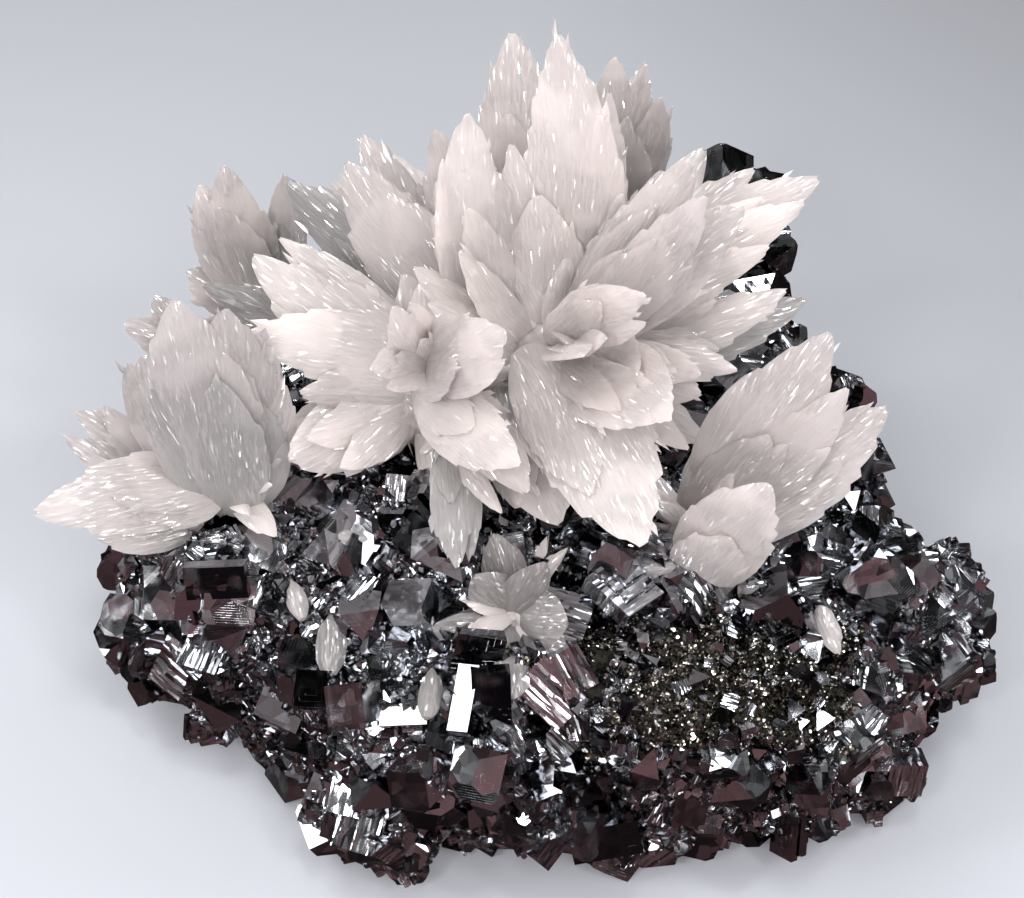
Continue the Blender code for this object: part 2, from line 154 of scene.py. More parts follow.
class Tree:
    """A node tree that is built by calls."""

    def __init__(self, tree):
        self.tree = tree

    def node(self, kind, settings=None, sockets=None):
        made = self.tree.nodes.new(kind)
        for name, value in (settings or {}).items():
            if name == "stops":
                self.set_stops(made.color_ramp, value)
            else:
                setattr(made, name, value)
        for key, value in (sockets or {}).items():
            if isinstance(key, int):
                socket = made.inputs[key]
            else:
                socket = next(s for s in made.inputs if s.name == key and s.enabled)
            if isinstance(value, Value):
                self.tree.links.new(value.socket, socket)
            else:
                socket.default_value = value
        return Node(self, made)

    def set_stops(self, ramp, stops):
        while len(ramp.elements) < len(stops):
            ramp.elements.new(0.5)
        for element, (place, colour) in zip(ramp.elements, stops):
            element.position = place
            element.color = colour

    def attribute(self, name, output):
        return self.node("ShaderNodeAttribute", {"attribute_name": name})[output]

    def ramp(self, value, *stops):
        """The value looked up in a ramp of (place, grey) stops."""
        greys = [(place, (grey, grey, grey, 1)) for place, grey in stops]
        return self.node("ShaderNodeValToRGB", {"stops": greys}, {"Fac": value})["Color"]

    def mix(self, factor, first, second):
        """Two colours mixed by a factor."""
        settings = {"data_type": "RGBA"}
        return self.node("ShaderNodeMix", settings, {"Factor": factor, "A": first, "B": second})["Result"]

    def noise(self, vector, scale, detail=2.0, roughness=0.5):
        sockets = {"Vector": vector, "Scale": scale, "Detail": detail, "Roughness": roughness}
        return self.node("ShaderNodeTexNoise", None, sockets)["Fac"]

    def vector_math(self, operation, first, second):
        return self.node("ShaderNodeVectorMath", {"operation": operation}, {0: first, 1: second})["Vector"]

    def stretch(self, vector, factors):
        """A vector with its three parts multiplied."""
        return self.vector_math("MULTIPLY", vector, factors)

    def parts(self, vector):
        """A node that gives a vector's X, Y and Z."""
        return self.node("ShaderNodeSeparateXYZ", None, {"Vector": vector})

    def cells(self, vector, scale=1.0):
        """A random vector for each cell of a Voronoi pattern, every part from 0 to 1."""
        return self.node("ShaderNodeTexVoronoi", None, {"Vector": vector, "Scale": scale})["Color"]

    def scaled(self, vector, factor):
        """A vector times a number."""
        sockets = {0: vector, "Scale": factor}
        return self.node("ShaderNodeVectorMath", {"operation": "SCALE"}, sockets)["Vector"]

    def facets(self, normal, cells, tilt):
        """A normal that is tilted another way in each cell, as if every cell were a small flat face."""
        lean = self.scaled(self.vector_math("SUBTRACT", cells, (0.5, 0.5, 0.5)), tilt)
        return self.vector_math("NORMALIZE", self.vector_math("ADD", normal, lean), (0, 0, 0))

    def surface_normal(self):
        return self.node("ShaderNodeNewGeometry")["Normal"]

    def place(self):
        """The place on the finished piece, in metres."""
        return self.node("ShaderNodeTexCoord")["Object"]

    def bump(self, height, distance, strength=1.0, normal=None):
        sockets = {"Height": height, "Distance": distance, "Strength": strength}
        if normal is not None:
            sockets["Normal"] = normal
        return self.node("ShaderNodeBump", None, sockets)["Normal"]


def new_material(name, sockets, through=None, sparks=None):
    """A Principled material. sockets(tree) gives what goes into the shader's sockets.

    through is (share, colour): that share of the light comes out at the other side, scattered. sparks(tree)
    gives how much of the surface is small mirrors, and the normal of those mirrors."""
    material = bpy.data.materials.new(name)
    material.use_nodes = True
    material.node_tree.nodes.clear()
    tree = Tree(material.node_tree)
    surface = tree.node("ShaderNodeBsdfPrincipled", None, sockets(tree))["BSDF"]
    if through:
        share, colour = through
        passing = tree.node("ShaderNodeBsdfTranslucent", None, {"Color": colour})["BSDF"]
        surface = tree.node("ShaderNodeMixShader", None, {0: share, 1: surface, 2: passing})["Shader"]
    if sparks:
        share, normal = sparks(tree)
        mirror = {"Base Color": rgb(1, 1, 1), "Metallic": 1.0, "Roughness": SPARK_ROUGHNESS, "Normal": normal}
        glint = tree.node("ShaderNodeBsdfPrincipled", None, mirror)["BSDF"]
        surface = tree.node("ShaderNodeMixShader", None, {0: share, 1: surface, 2: glint})["Shader"]
    tree.node("ShaderNodeOutputMaterial", None, {"Surface": surface})
    print("material:", name, "with", len(material.node_tree.nodes), "nodes")
    return material


def rgb(red, green, blue):
    return (red, green, blue, 1.0)


SPARK_ROUGHNESS = 0.22


# %% [markdown]
# ## The look of calcite
#
# Bladed calcite is milky inside and clearer at its thin rims, with fine stripes that run up the blade and
# spread to its teeth. Three values that are stored on the mesh steer the look: `grain` holds a place on the
# blade in millimetres, along it and across it, `rim` is 0 in the thick middle and 1 at the thin edge, and
# `tint` is higher on the greyer, clearer crystals; on the left front cluster it also carries painted shade.
# Noise that is stretched along the grain gives the stripes. A part of the light goes through, scattered, as
# in milk glass. In patches the surface breaks up into fine strokes along the grain, tiny faces that flash
# like mirrors, so a second, mirror-like shader is mixed in there.


# %% Make the calcite materials
CALCITE_IOR = 1.658


def calcite_stripes(tree, grain):
    """The height of the fine silk and the broad ribs, and the ribs alone."""
    silk = tree.noise(tree.stretch(grain, (0.35, 5.0, 1.0)), 1.0, 2.0, 0.6)
    ribs = tree.noise(tree.stretch(grain, (0.06, 0.55, 1.0)), 1.0, 1.0, 0.5)
    return silk * 0.8 + ribs * 0.6, ribs


def calcite_sparks(tree):
    """Patches where the surface breaks up into strokes along the grain, each tilted its own way."""
    grain = tree.attribute("grain", "Vector")
    place = tree.place()
    strokes = tree.cells(tree.stretch(grain, (0.9, 9.0, 1.0)))
    patches = tree.ramp(tree.noise(place, 150.0, 1.0), (0.42, 0.05), (0.53, 0.24))
    return patches, tree.facets(tree.surface_normal(), strokes, 1.2)


def calcite_sockets(tree):
    grain = tree.attribute("grain", "Vector")
    rim = tree.attribute("rim", "Fac")
    tint = tree.attribute("tint", "Fac")
    place = tree.place()
    height, ribs = calcite_stripes(tree, grain)
    clouds = tree.noise(place, 300.0, 1.0, 0.6)
    drawn_out = tree.noise(tree.stretch(grain, (0.16, 3.0, 1.0)), 1.0, 1.0, 0.6)
    streaks = tree.ramp(drawn_out, (0.35, 0.0), (0.65, 1.0))
    milk = tree.mix(clouds * 0.4 + streaks * 0.6, rgb(0.96, 0.89, 0.875), rgb(0.99, 0.955, 0.945))
    clear = tree.mix(clouds, rgb(0.42, 0.405, 0.41), rgb(0.62, 0.60, 0.605))
    thin = tree.ramp(rim * 0.8 + ribs * 0.2, (0.50, 0.0), (0.98, 0.8))
    return {
        "Base Color": tree.mix(tint * 1.7 + thin * 0.25, milk, clear),
        "Roughness": 0.42,
        "Normal": tree.bump(height, 0.25 * MM, 0.9),
        "IOR": CALCITE_IOR,
    }


def clear_calcite_sockets(tree):
    grain = tree.attribute("grain", "Vector")
    tint = tree.attribute("tint", "Fac")
    place = tree.place()
    height = calcite_stripes(tree, grain)[0]
    clouds = tree.noise(place, 350.0, 1.0, 0.6)
    pale = tree.mix(clouds, rgb(0.80, 0.78, 0.785), rgb(0.94, 0.93, 0.93))
    return {
        "Base Color": tree.mix(tint * 1.4 - 0.4, pale, rgb(0.34, 0.31, 0.31)),
        "Roughness": 0.25,
        "Normal": tree.bump(height, 0.25 * MM, 0.9),
        "IOR": CALCITE_IOR,
        "Transmission Weight": 0.45,
    }


through_milky = (0.52, rgb(0.98, 0.92, 0.905))
through_clear = (0.30, rgb(0.80, 0.78, 0.775))
milky_calcite = new_material("milky_calcite", calcite_sockets, through_milky, calcite_sparks)
clear_calcite = new_material("clear_calcite", clear_calcite_sockets, through_clear, calcite_sparks)

# %% [markdown]
# ## The look of galena
#
# Galena is a metallic lead sulfide. Fresh faces are mirrors, so nearly all that one sees of a crystal is
# what it reflects. Real faces carry steps and fine lines parallel to the cube's edges. Each small crystal
# stores `spot`, the place on its own cube, and `shade`, a random number of its own. The middle one of the
# three distances from the cube's centre, cut into levels, draws square steps on every face.


# %% Make the galena materials
def square_steps(tree, spot, levels):
    """Heights in levels that follow the edges of a cube's faces."""
    parts = tree.parts(spot)
    size = [parts[axis].math("ABSOLUTE", parts[axis]) for axis in "XYZ"]
    largest = size[0].math("MAXIMUM", size[0].math("MAXIMUM", size[0], size[1]), size[2])
    smallest = size[0].math("MINIMUM", size[0].math("MINIMUM", size[0], size[1]), size[2])
    middle = size[0] + size[1] + size[2] - largest - smallest
    return middle.math("FLOOR", middle * levels) / levels


def galena_sockets(tree):
    spot = tree.attribute("spot", "Vector")
    shade = tree.attribute("shade", "Fac")
    place = tree.place()
    steps = square_steps(tree, spot, shade * 9.0 + 3.0)
    plates = tree.cells(place, 900.0)
    tilted = tree.facets(tree.surface_normal(), plates, 0.06)
    strips = tree.cells(tree.stretch(spot, (0.7, 8.0, 0.7)))
    striped = tree.ramp(shade, (0.62, 0.0), (0.66, 1.0))
    tilted = tree.facets(tilted, strips, striped * 0.30 + 0.02)
    dull = tree.ramp(tree.noise(place, 380.0, 1.0), (0.52, 0.0), (0.72, 1.0))
    return {
        "Base Color": tree.mix(shade, rgb(0.22, 0.225, 0.245), rgb(0.58, 0.60, 0.64)),
        "Metallic": 1.0,
        "Roughness": 0.05 + shade * 0.07 + dull * 0.14,
        "Normal": tree.bump(steps, 0.14 * MM, 0.7, tilted),
    }


def ground_sockets(tree):
    place = tree.place()
    coarse = tree.facets(tree.surface_normal(), tree.cells(place, 800.0), 1.5)
    fine = tree.facets(coarse, tree.cells(place, 2600.0), 0.7)
    grains = tree.noise(place, 1800.0, 1.0, 0.7)
    return {
        "Base Color": tree.mix(grains, rgb(0.12, 0.12, 0.13), rgb(0.50, 0.51, 0.54)),
        "Metallic": 1.0,
        "Roughness": 0.08 + grains * 0.16,
        "Normal": fine,
    }


galena_skin = new_material("galena_mirror", galena_sockets)
ground_skin = new_material("galena_ground", ground_sockets)

# %% [markdown]
# ## The look of the brown crust
#
# The patch at the front is a crust of fine sulfide crystals, dark brown to olive, with some that flash
# brassy or white. A random number on each tiny crystal picks its colour.


# %% Make the brown crust's material
def crust_sockets(tree):
    shade = tree.attribute("shade", "Fac")
    place = tree.place()
    stops = [
        (0.0, rgb(0.010, 0.010, 0.009)),
        (0.35, rgb(0.070, 0.066, 0.055)),
        (0.60, rgb(0.20, 0.19, 0.155)),
        (0.82, rgb(0.45, 0.43, 0.39)),
        (1.0, rgb(0.92, 0.92, 0.92)),
    ]
    tone = tree.node("ShaderNodeValToRGB", {"stops": stops}, {"Fac": shade})["Color"]
    return {
        "Base Color": tone,
        "Metallic": 1.0,
        "Roughness": 0.10 + (1 - shade) * 0.12,
        "Normal": tree.facets(tree.surface_normal(), tree.cells(place, 4000.0), 0.7),
    }


def crust_ground_sockets(tree):
    place = tree.place()
    grains = tree.noise(place, 2200.0, 1.0, 0.7)
    return {
        "Base Color": tree.mix(grains, rgb(0.003, 0.003, 0.002), rgb(0.020, 0.017, 0.013)),
        "Roughness": 0.6,
        "Specular IOR Level": 0.25,
        "Normal": tree.facets(tree.surface_normal(), tree.cells(place, 2400.0), 1.2),
    }


crust_skin = new_material("brown_crust", crust_sockets)
crust_ground = new_material("brown_crust_ground", crust_ground_sockets)

# %% [markdown]
# ## A blade of calcite
#
# A blade is leaf-shaped: narrow where it grows out, widest past the middle, pointed at the tip, and thin at
# its rim, which ends in teeth that point forward. Sculpting each one alone would take long, so a function
# makes a blade from its root, its tip, its width and a roll. It works out rings of points with numpy: a
# ring goes across the front of the blade and back across its rear.

# %% Shape one blade
DISPLAY_FACE = np.array((0.0, -0.64, 0.77))
OUTLINE_AT = (0.0, 0.08, 0.22, 0.42, 0.60, 0.75, 0.87, 0.95, 1.0)
OUTLINE_WIDTH = (0.36, 0.60, 0.88, 1.0, 0.95, 0.76, 0.48, 0.25, 0.06)
FAN = 0.3  # how much the stripes spread towards the tip
THICKNESS = 0.16  # as a share of the width
LEAST_THICKNESS = 0.2  # mm


def turned(vector, axis, angle):
    """A vector turned about an axis."""
    return (
        vector * math.cos(angle)
        + np.cross(axis, vector) * math.sin(angle)
        + axis * axis.dot(vector) * (1 - math.cos(angle))
    )


def tooth_ramps(share, length, rng):
    """For places along an edge, how far out between one tooth's foot, 0, and its point, 1."""
    ends = [0.0]
    while ends[-1] < length * 1.1:
        ends.append(ends[-1] + rng.uniform(1.8, 6.0))
    ends = np.array(ends)
    at = share * length
    tooth = np.searchsorted(ends, at, side="right")
    low, high = ends[tooth - 1], ends[tooth]
    return ((at - low) / (high - low)) ** 0.8


def blade_axes(root, tip, roll):
    """A blade's length and its three directions: along it, out of its face, and across it."""
    length = np.linalg.norm(tip - root)
    along = (tip - root) / length
    facing = DISPLAY_FACE - along * DISPLAY_FACE.dot(along)
    facing = turned(facing / np.linalg.norm(facing), along, math.radians(roll))
    return length, along, facing, np.cross(along, facing)


def blade_arrays(row, rows, columns, rng, thickness=THICKNESS):
    """Points, faces and stored values of one blade. row is (root, tip, width, roll, tint)."""
    root, tip, width, roll, tint = row
    root, tip = np.array(root, float), np.array(tip, float)
    length, along, facing, side = blade_axes(root, tip, roll)
    share = np.linspace(0, 1, rows + 1)[:, None]
    step = np.linspace(-1, 1, columns + 1)
    ring = np.concatenate([step, step[-2:0:-1]])
    front = np.concatenate([np.ones(columns + 1), -np.ones(columns - 1)])
    edge = np.abs(ring)[None, :]
    half = width / 2 * np.interp(share, OUTLINE_AT, OUTLINE_WIDTH)
    left = tooth_ramps(share[:, 0], length, rng)[:, None]
    right = tooth_ramps(share[:, 0], length, rng)[:, None]
    ramp = np.where(ring[None, :] < 0, left, right)
    depth = rng.uniform(0.08, 0.2) * np.clip(share * 2.2 - 0.7, 0.1, 1)
    reach = half * (1 - depth * (1 - ramp) * edge**6)
    lopsided = 1 + rng.uniform(-0.12, 0.12) * np.sign(ring)[None, :]
    across = ring[None, :] * reach * lopsided
    sway = rng.uniform(-0.04, 0.04) * length * np.sin(math.pi * share)
    cup = rng.uniform(-0.02, 0.05) * length * share**2
    thick = (width * thickness + LEAST_THICKNESS) * np.interp(share, OUTLINE_AT, OUTLINE_WIDTH) ** 0.6
    stripe = across * (1 - FAN * share)
    folds = 1 + 0.04 * np.sin(stripe * 2.6 + rng.uniform(0, 6))
    deep = front[None, :] * thick / 2 * np.clip(1 - edge**1.7, 0, 1) * folds
    shift = share * length + 0.3 * ramp * edge**4 * np.clip(share * 2, 0, 1)
    points = (
        root
        + shift[..., None] * along
        + (across + sway)[..., None] * side
        + (deep + cup)[..., None] * facing
    )
    grain = np.stack([shift, stripe, np.full_like(across, rng.uniform(0, 90))], -1)
    rim = np.clip(edge**5 * np.ones_like(share) + np.clip(share * 5 - 4.2, 0, 1), 0, 1)
    flow = along + 0.2 * ring[None, :, None] * np.ones_like(share)[..., None] * side
    scaly = np.clip(share * 1.8 - 0.5, 0.08, 1) * (0.4 + 0.6 * edge**2)
    count = len(ring)
    faces = []
    for r in range(rows):
        low, high = r * count, (r + 1) * count
        faces += [(low + c, low + (c + 1) % count, high + (c + 1) % count, high + c) for c in range(count)]
    faces.append(tuple(reversed(range(count))))
    faces.append(tuple(range(rows * count, (rows + 1) * count)))
    values = {"grain": grain, "flow": flow, "rim": rim, "scaly": scaly, "tint": np.full_like(across, tint)}
    return points.reshape(-1, 3), faces, {k: v.reshape(across.size, -1) for k, v in values.items()}


# %% [markdown]
# ## From arrays to a mesh
#
# All blades of a cluster go into one mesh, since they grew together. Each array of values becomes a named
# attribute, which both the materials and the Geometry Nodes can read.


# %% Join arrays into an object
def mesh_object(name, parts):
    """One object from a list of (points, faces, values), in millimetres."""
    points, faces, offset = [], [], 0
    for part in parts:
        points.append(part[0])
        faces += [tuple(index + offset for index in face) for face in part[1]]
        offset += len(part[0])
    mesh = bpy.data.meshes.new(name)
    mesh.from_pydata((np.concatenate(points) * MM).tolist(), [], faces, shade_flat=False)
    for key in parts[0][2]:
        data = np.concatenate([part[2][key] for part in parts]).astype(np.float32)
        kind = "FLOAT_VECTOR" if data.shape[1] == 3 else "FLOAT"
        stored = mesh.attributes.new(key, kind, "POINT")
        stored.data.foreach_set("vector" if data.shape[1] == 3 else "value", data.ravel())
    return new_object(name, mesh)


def mesh_from(bm, name):
    """A mesh that takes over the geometry of a bmesh."""
    mesh = bpy.data.meshes.new(name)
    bm.to_mesh(mesh)
    bm.free()
    return mesh


def faces_out(mesh):
    """Turns every face outwards."""
    bm = bmesh.new()
    bm.from_mesh(mesh)
    bmesh.ops.recalc_face_normals(bm, faces=bm.faces)
    bm.to_mesh(mesh)
    bm.free()


# %% [markdown]
# ## The middle of a cluster
#
# The blades of a rosette spring from a knot of grown-together crystals. A fluted knot stands for its
# inside, and a spray of short blades hides it and fills the gaps between the long ones.


# %% Shape the middles
def heart_arrays(centre, radii, tint):
    """A knot with upright flutes, like the feet of many blades, and with the values that a blade has."""
    bm = bmesh.new()
    bmesh.ops.create_icosphere(bm, subdivisions=4, radius=1.0)
    unit = np.array([vert.co[:] for vert in bm.verts])
    faces = [tuple(vert.index for vert in face.verts) for face in bm.faces]
    bm.free()
    round_it = np.arctan2(unit[:, 1], unit[:, 0])
    flutes = np.abs(np.sin(round_it * 6.5 + 1.5 * np.sin(round_it * 3) + unit[:, 2]))
    points = np.array(centre) + unit * np.array(radii) * (0.40 + 0.13 * flutes)[:, None]
    zero = np.zeros((len(points), 1))
    values = {"grain": points * 0.7, "flow": unit, "rim": zero, "scaly": zero + 0.9, "tint": zero + tint}
    return points, faces, values


def spray_rows(centre, radii, count, rng):
    """Short blades out of a ball, mostly upwards and to its sides."""
    rows = []
    while len(rows) < count:
        way = np.array((rng.gauss(0, 1), rng.gauss(-0.2, 1.0), rng.gauss(0.4, 0.7)))
        way /= np.linalg.norm(way)
        if way[2] < -0.25 or way.dot(DISPLAY_FACE) > 0.8:
            continue
        surface = np.array(centre) + way * np.array(radii) * 0.8
        length = min(radii) * rng.uniform(0.5, 1.2)
        rows.append((
            tuple(surface - way * min(radii) * 0.6), tuple(surface + way * length),
            (length + min(radii) * 0.6) * rng.uniform(0.26, 0.4), rng.uniform(-35, 35), rng.uniform(0, 0.08),
        ))
    return rows


# %% [markdown]
# ## The blades, one row each
#
# The rows repeat the places that the imported solids have, in millimetres: root, tip, width, roll, and how
# grey the blade is, which on the left front cluster is partly painted shade. Each gets a few companions that
# grow almost parallel to it, shorter and narrower, as blades of calcite do.

# %% List the clusters
CLUSTERS = {
    "calcite_rosette": {
        "hearts": (((3.5, 1.0, 37.0), (11.0, 9.5, 11.5)), ((-9.0, -2.0, 35.0), (9.0, 8.0, 10.0))),
        "spray": 28,
        "blades": (
            ((4, 3, 40), (4, 5, 76), 9.5, 0, 0.0),
            ((5, 3, 40), (8, 5, 67), 7.0, 5, 0.0),
            ((2, 7, 40), (0, 13.5, 68), 9.5, 0, 0.22),
            ((-1, 2, 40), (-4, 3, 68), 8.0, 5, 0.08),
            ((-5, 5, 38), (-14, 10.5, 58), 7.0, 10, 0.3),
            ((-3, 6, 38), (-7, 7.5, 62), 6.5, -10, 0.24),
            ((-3, 3, 40), (-6.5, 2.5, 63), 5.0, 40, 0.0),
            ((-4, 3, 40), (-15.5, 7.5, 58), 9.0, -15, 0.32),
            ((-7, 6, 36), (-21.5, 15, 48), 9.0, -35, 0.6),
            ((-8, -2, 39), (-24, -1, 54), 7.5, 0, 0.15),
            ((-8, -1, 40), (-22, 4, 51), 4.0, 10, 0.1),
            ((-8, -2, 39), (-24.5, -6.5, 50), 7.5, -10, 0.0),
            ((-12, 3, 34), (-29.5, 4.5, 44), 5.5, -10, 0.7),
            ((-10, -4, 38), (-20, -8, 43), 5.0, -25, 0.2),
            ((-9, -3, 36), (-21, -12, 38), 9.5, -20, 0.1),
            ((-7, -4, 42), (-13, -16, 55), 4.0, 0, 0.0),
            ((-7, -4, 42), (-11, -12.5, 60), 4.5, 10, 0.0),
            ((-9, -4, 40), (0, -17.5, 62), 7.5, 0, 0.0),
            ((-9, -4, 39), (0.5, -22.5, 50), 7.0, 10, 0.05),
            ((-8, -3, 36), (2, -20, 42), 6.0, 0, 0.2),
            ((-1, -2, 37), (4.5, -19, 37), 9.0, 10, 0.25),
            ((2, -2, 42), (12, -29.5, 46), 11.5, 0, 0.1),
            ((4, -3, 42), (13, -21.5, 54), 6.0, 0, 0.0),
            ((8, -2, 42), (14, -23, 56), 6.5, 5, 0.0),
            ((10, -2, 42), (17, -12, 50), 4.0, 0, 0.05),
            ((10, -1, 40), (21, -8, 46), 4.0, 10, 0.1),
            ((10, -1, 38), (18, -7.5, 42), 4.5, 0, 0.2),
            ((4, -2, 43), (11.5, -13.5, 62), 5.5, 10, 0.0),
            ((5, -2, 43), (6, -20, 62), 5.0, -10, 0.0),
            ((6, 1, 42), (16.5, -0.5, 66), 7.5, 0, 0.26),
            ((7, 0, 42), (17, -7, 68), 6.5, 5, 0.26),
            ((8, 0, 42), (21, -2.5, 62), 7.0, 0, 0.26),
            ((8, 5, 40), (29, 9, 54), 8.0, 0, 0.16),
            ((8, 3, 41), (27.5, 6, 54), 6.0, 10, 0.05),
            ((9, 1, 40), (24, 2, 52), 5.0, 15, 0.05),
            ((8, 0, 39), (26, 2, 46), 5.5, 0, 0.15),
            ((8, 1, 37), (28.5, 6, 40), 6.5, -10, 0.5),
            ((6, 6, 38), (9, 12, 62), 4.5, 0, 0.2),
            ((-4, 6, 36), (-12, 22, 44), 8.0, 20, 0.2),
            ((3, 7, 36), (2, 25, 48), 8.5, -10, 0.2),
            ((8, 6, 36), (19, 21, 46), 8.0, 15, 0.2),
            ((-5, -6, 37), (-5, -25.5, 38), 4.5, 0, 0.6),
        ),
    },
    "calcite_rear_fan": {
        "hearts": (((11.0, 23.0, 33.0), (4.5, 3.5, 5.0)),),
        "spray": 11,
        "blades": (
            ((11, 24, 33), (10, 23.5, 56), 6.0, 0, 0.2),
            ((11, 24, 33), (13, 23.5, 55), 5.5, 0, 0.2),
            ((12, 24, 33), (14.5, 23, 52), 4.5, 10, 0.2),
        ),
    },
    "calcite_rear_left_cluster": {
        "hearts": (((-25.0, 16.5, 28.0), (5.0, 4.0, 4.5)),),
        "spray": 11,
        "blades": (
            ((-25, 17, 28), (-28, 16, 49), 6.5, 0, 0.1),
            ((-26, 17, 28), (-31, 17.5, 45), 6.0, 10, 0.1),
            ((-26, 17, 28), (-31.5, 18.5, 38), 3.5, 0, 0.2),
            ((-24, 18, 28), (-22, 18, 46), 5.0, -20, 0.4),
            ((-26, 16, 27), (-33, 16, 34), 4.5, 10, 0.3),
        ),
    },
    "calcite_left_bud": {
        "hearts": (((-31.5, 11.5, 24.5), (3.2, 3.0, 3.2)),),
        "spray": 12,
        "blades": (
            ((-31, 12, 25), (-36, 12.5, 34), 4.5, 0, 0.2),
            ((-31, 12, 25), (-39, 10.5, 32), 4.5, 0, 0.15),
        ),
    },
    # The tints of these blades are raised: partly their own pinkish grey, partly painted shade for a cluster
    # that faces left and down, away from the light.
    "calcite_left_front_cluster": {
        "hearts": (((-29.0, -9.0, 29.5), (7.0, 4.5, 5.5)),),
        "spray": 12,
        "blades": (
            ((-27, -11, 29), (-30, -11, 58), 11.5, 0, 0.45),
            ((-26, -10, 28), (-26, -8.5, 56), 10.0, 10, 0.42),
            ((-25, -10, 29), (-22, -8, 46), 6.5, 15, 0.34),
            ((-31, -8, 29), (-34, -7.5, 48), 8.5, -15, 0.3),
            ((-32, -8, 29), (-39, -5.5, 38), 4.0, 0, 0.4),
            ((-33, -8, 29), (-42, -4.5, 36), 4.2, 10, 0.4),
            ((-33, -9, 29), (-43, -5.5, 33), 3.5, 0, 0.4),
            ((-27, -9, 31), (-44.5, -17, 36), 8.0, 0, 0.25),
            ((-30, -11, 28), (-40, -13, 27), 4.5, 0, 0.4),
        ),
    },
    "calcite_right_front_cluster": {
        "hearts": (((17.5, -14.0, 29.0), (5.0, 4.5, 5.5)),),
        "spray": 12,
        "blades": (
            ((17, -13, 28), (28.5, -11, 54), 9.5, 0, 0.34),
            ((18, -13, 29), (30.5, -13.5, 50), 6.5, 10, 0.3),
            ((18, -14, 29), (35, -11, 44), 9.5, -5, 0.34),
            ((17, -18, 27), (23, -22, 46), 9.0, 0, 0.05),
        ),
    },
    "calcite_lower_cluster": {
        "hearts": (((0.5, -22.5, 28.0), (4.0, 4.0, 4.5)),),
        "spray": 11,
        "thickness": 0.42,
        "blades": (
            ((0, -22, 28), (-1.5, -19.5, 36), 4.5, 0, 0.9),
            ((0, -23, 28), (3, -23, 36), 4.5, 20, 0.9),
            ((1, -23, 28), (5, -27, 32), 6.0, 0, 0.8),
            ((1, -24, 27), (5, -28.5, 29), 5.0, 10, 0.75),
            ((0, -24, 27), (0, -32.5, 28), 6.5, 0, 0.75),
            ((0, -22, 28), (-3.5, -23.5, 35), 5.0, -10, 0.85),
        ),
    },
}
print("clusters:", {name: len(cluster["blades"]) for name, cluster in CLUSTERS.items()})

# %% [markdown]
# ## Companions
#
# A big blade of calcite is a bundle that grew almost parallel. Its tip is split: smaller tips stand off to
# both sides, lower down and a few degrees apart, and a shorter leaf lies on its face. So each row gets
# companions in its own plane. They stay shorter than the blade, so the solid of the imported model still
# reaches every outermost tip.


# %% Add companions to a blade
def companion_rows(row, count, rng):
    """Rows for the smaller crystals of a bundle: side tips in turn, and every third one on its face."""
    root, tip, width, roll, tint = row
    root, tip = np.array(root, float), np.array(tip, float)
    length, along, facing, side = blade_axes(root, tip, roll)
    rows = []
    for number in range(count):
        sign = -1 if number % 2 else 1
        if number % 3 == 2:
            start = root + facing * width * 0.07 + side * width * rng.uniform(-0.12, 0.12)
            lean = along + side * rng.uniform(-0.07, 0.07) + facing * 0.02
            reach, broad = length * rng.uniform(0.5, 0.8), width * rng.uniform(0.6, 0.85)
        else:
            start = root + along * length * rng.uniform(0.05, 0.2)
            start = start + side * sign * width * rng.uniform(0.05, 0.2)
            start = start + facing * width * rng.uniform(-0.05, 0.05)
            lean = along + side * sign * rng.uniform(0.04, 0.16)
            reach, broad = length * rng.uniform(0.45, 0.74), width * rng.uniform(0.4, 0.62)
        end = start + lean / np.linalg.norm(lean) * reach
        turn = roll + rng.uniform(-7, 7)
        rows.append((tuple(start), tuple(end), broad, turn, min(1.0, tint + rng.uniform(-0.05, 0.12))))
    return rows


# %% [markdown]
# ## Splinters on the blades
#
# From near by, a blade is a stack of tiny crystals that lie along it, most of them near its rim and tip,
# and their small faces flash. Geometry Nodes scatter them: points on the blade, as many as the stored value
# `scaly` asks for, each turned flat to the surface and along the stored direction `flow`.

# %% Make the splinter shapes
SPLINTERS = ((0.24, 0.06, 0.45), (0.32, 0.06, 0.5), (0.18, 0.06, 0.45))  # width, thickness, widest place


def hidden_collection(name):
    made = bpy.data.collections.new(name)
    bpy.context.scene.collection.children.link(made)
    made.hide_render = True
    return made


def hull_object(name, points, collection):
    """A convex crystal from its corners, with its own place stored as `spot`."""
    bm = bmesh.new()
    for point in points:
        bm.verts.new(point)
    hull = bmesh.ops.convex_hull(bm, input=bm.verts)
    bmesh.ops.delete(bm, geom=list(set(hull["geom_interior"] + hull["geom_unused"])), context="VERTS")
    flat = math.radians(1)
    bmesh.ops.dissolve_limit(bm, angle_limit=flat, verts=bm.verts, edges=bm.edges)
    bmesh.ops.recalc_face_normals(bm, faces=bm.faces)
    mesh = mesh_from(bm, name)
    store_spot(mesh)
    return new_object(name, mesh, collection)


def store_spot(mesh):
    places = np.empty(len(mesh.vertices) * 3, np.float32)
    mesh.vertices.foreach_get("co", places)
    mesh.attributes.new("spot", "FLOAT_VECTOR", "POINT").data.foreach_set("vector", places)


splinter_shapes = hidden_collection("splinter_shapes")
for number, (width, thickness, widest) in enumerate(SPLINTERS):
    corners = [(0, -0.35, 0), (0, 0.65, 0)]
    for end, size in ((widest - 0.3, 1.0), (0.05, 0.85)):
        corners += [(width / 2 * size, end, 0), (-width / 2 * size, end, 0)]
        corners += [(0, end, thickness / 2 * size), (0, end, -thickness / 2 * size)]
    hull_object(f"splinter_{number}", corners, splinter_shapes)


# %% [markdown]
# ## A tree of nodes with named inputs
#
# Each Geometry Nodes tree starts the same way: an input for the mesh, named inputs for the sizes, and an
# output. `apply_nodes` puts a tree on an object, sets the inputs by their identifiers, and turns the result
# into a plain mesh without a modifier, because instances wouldn't be exported.


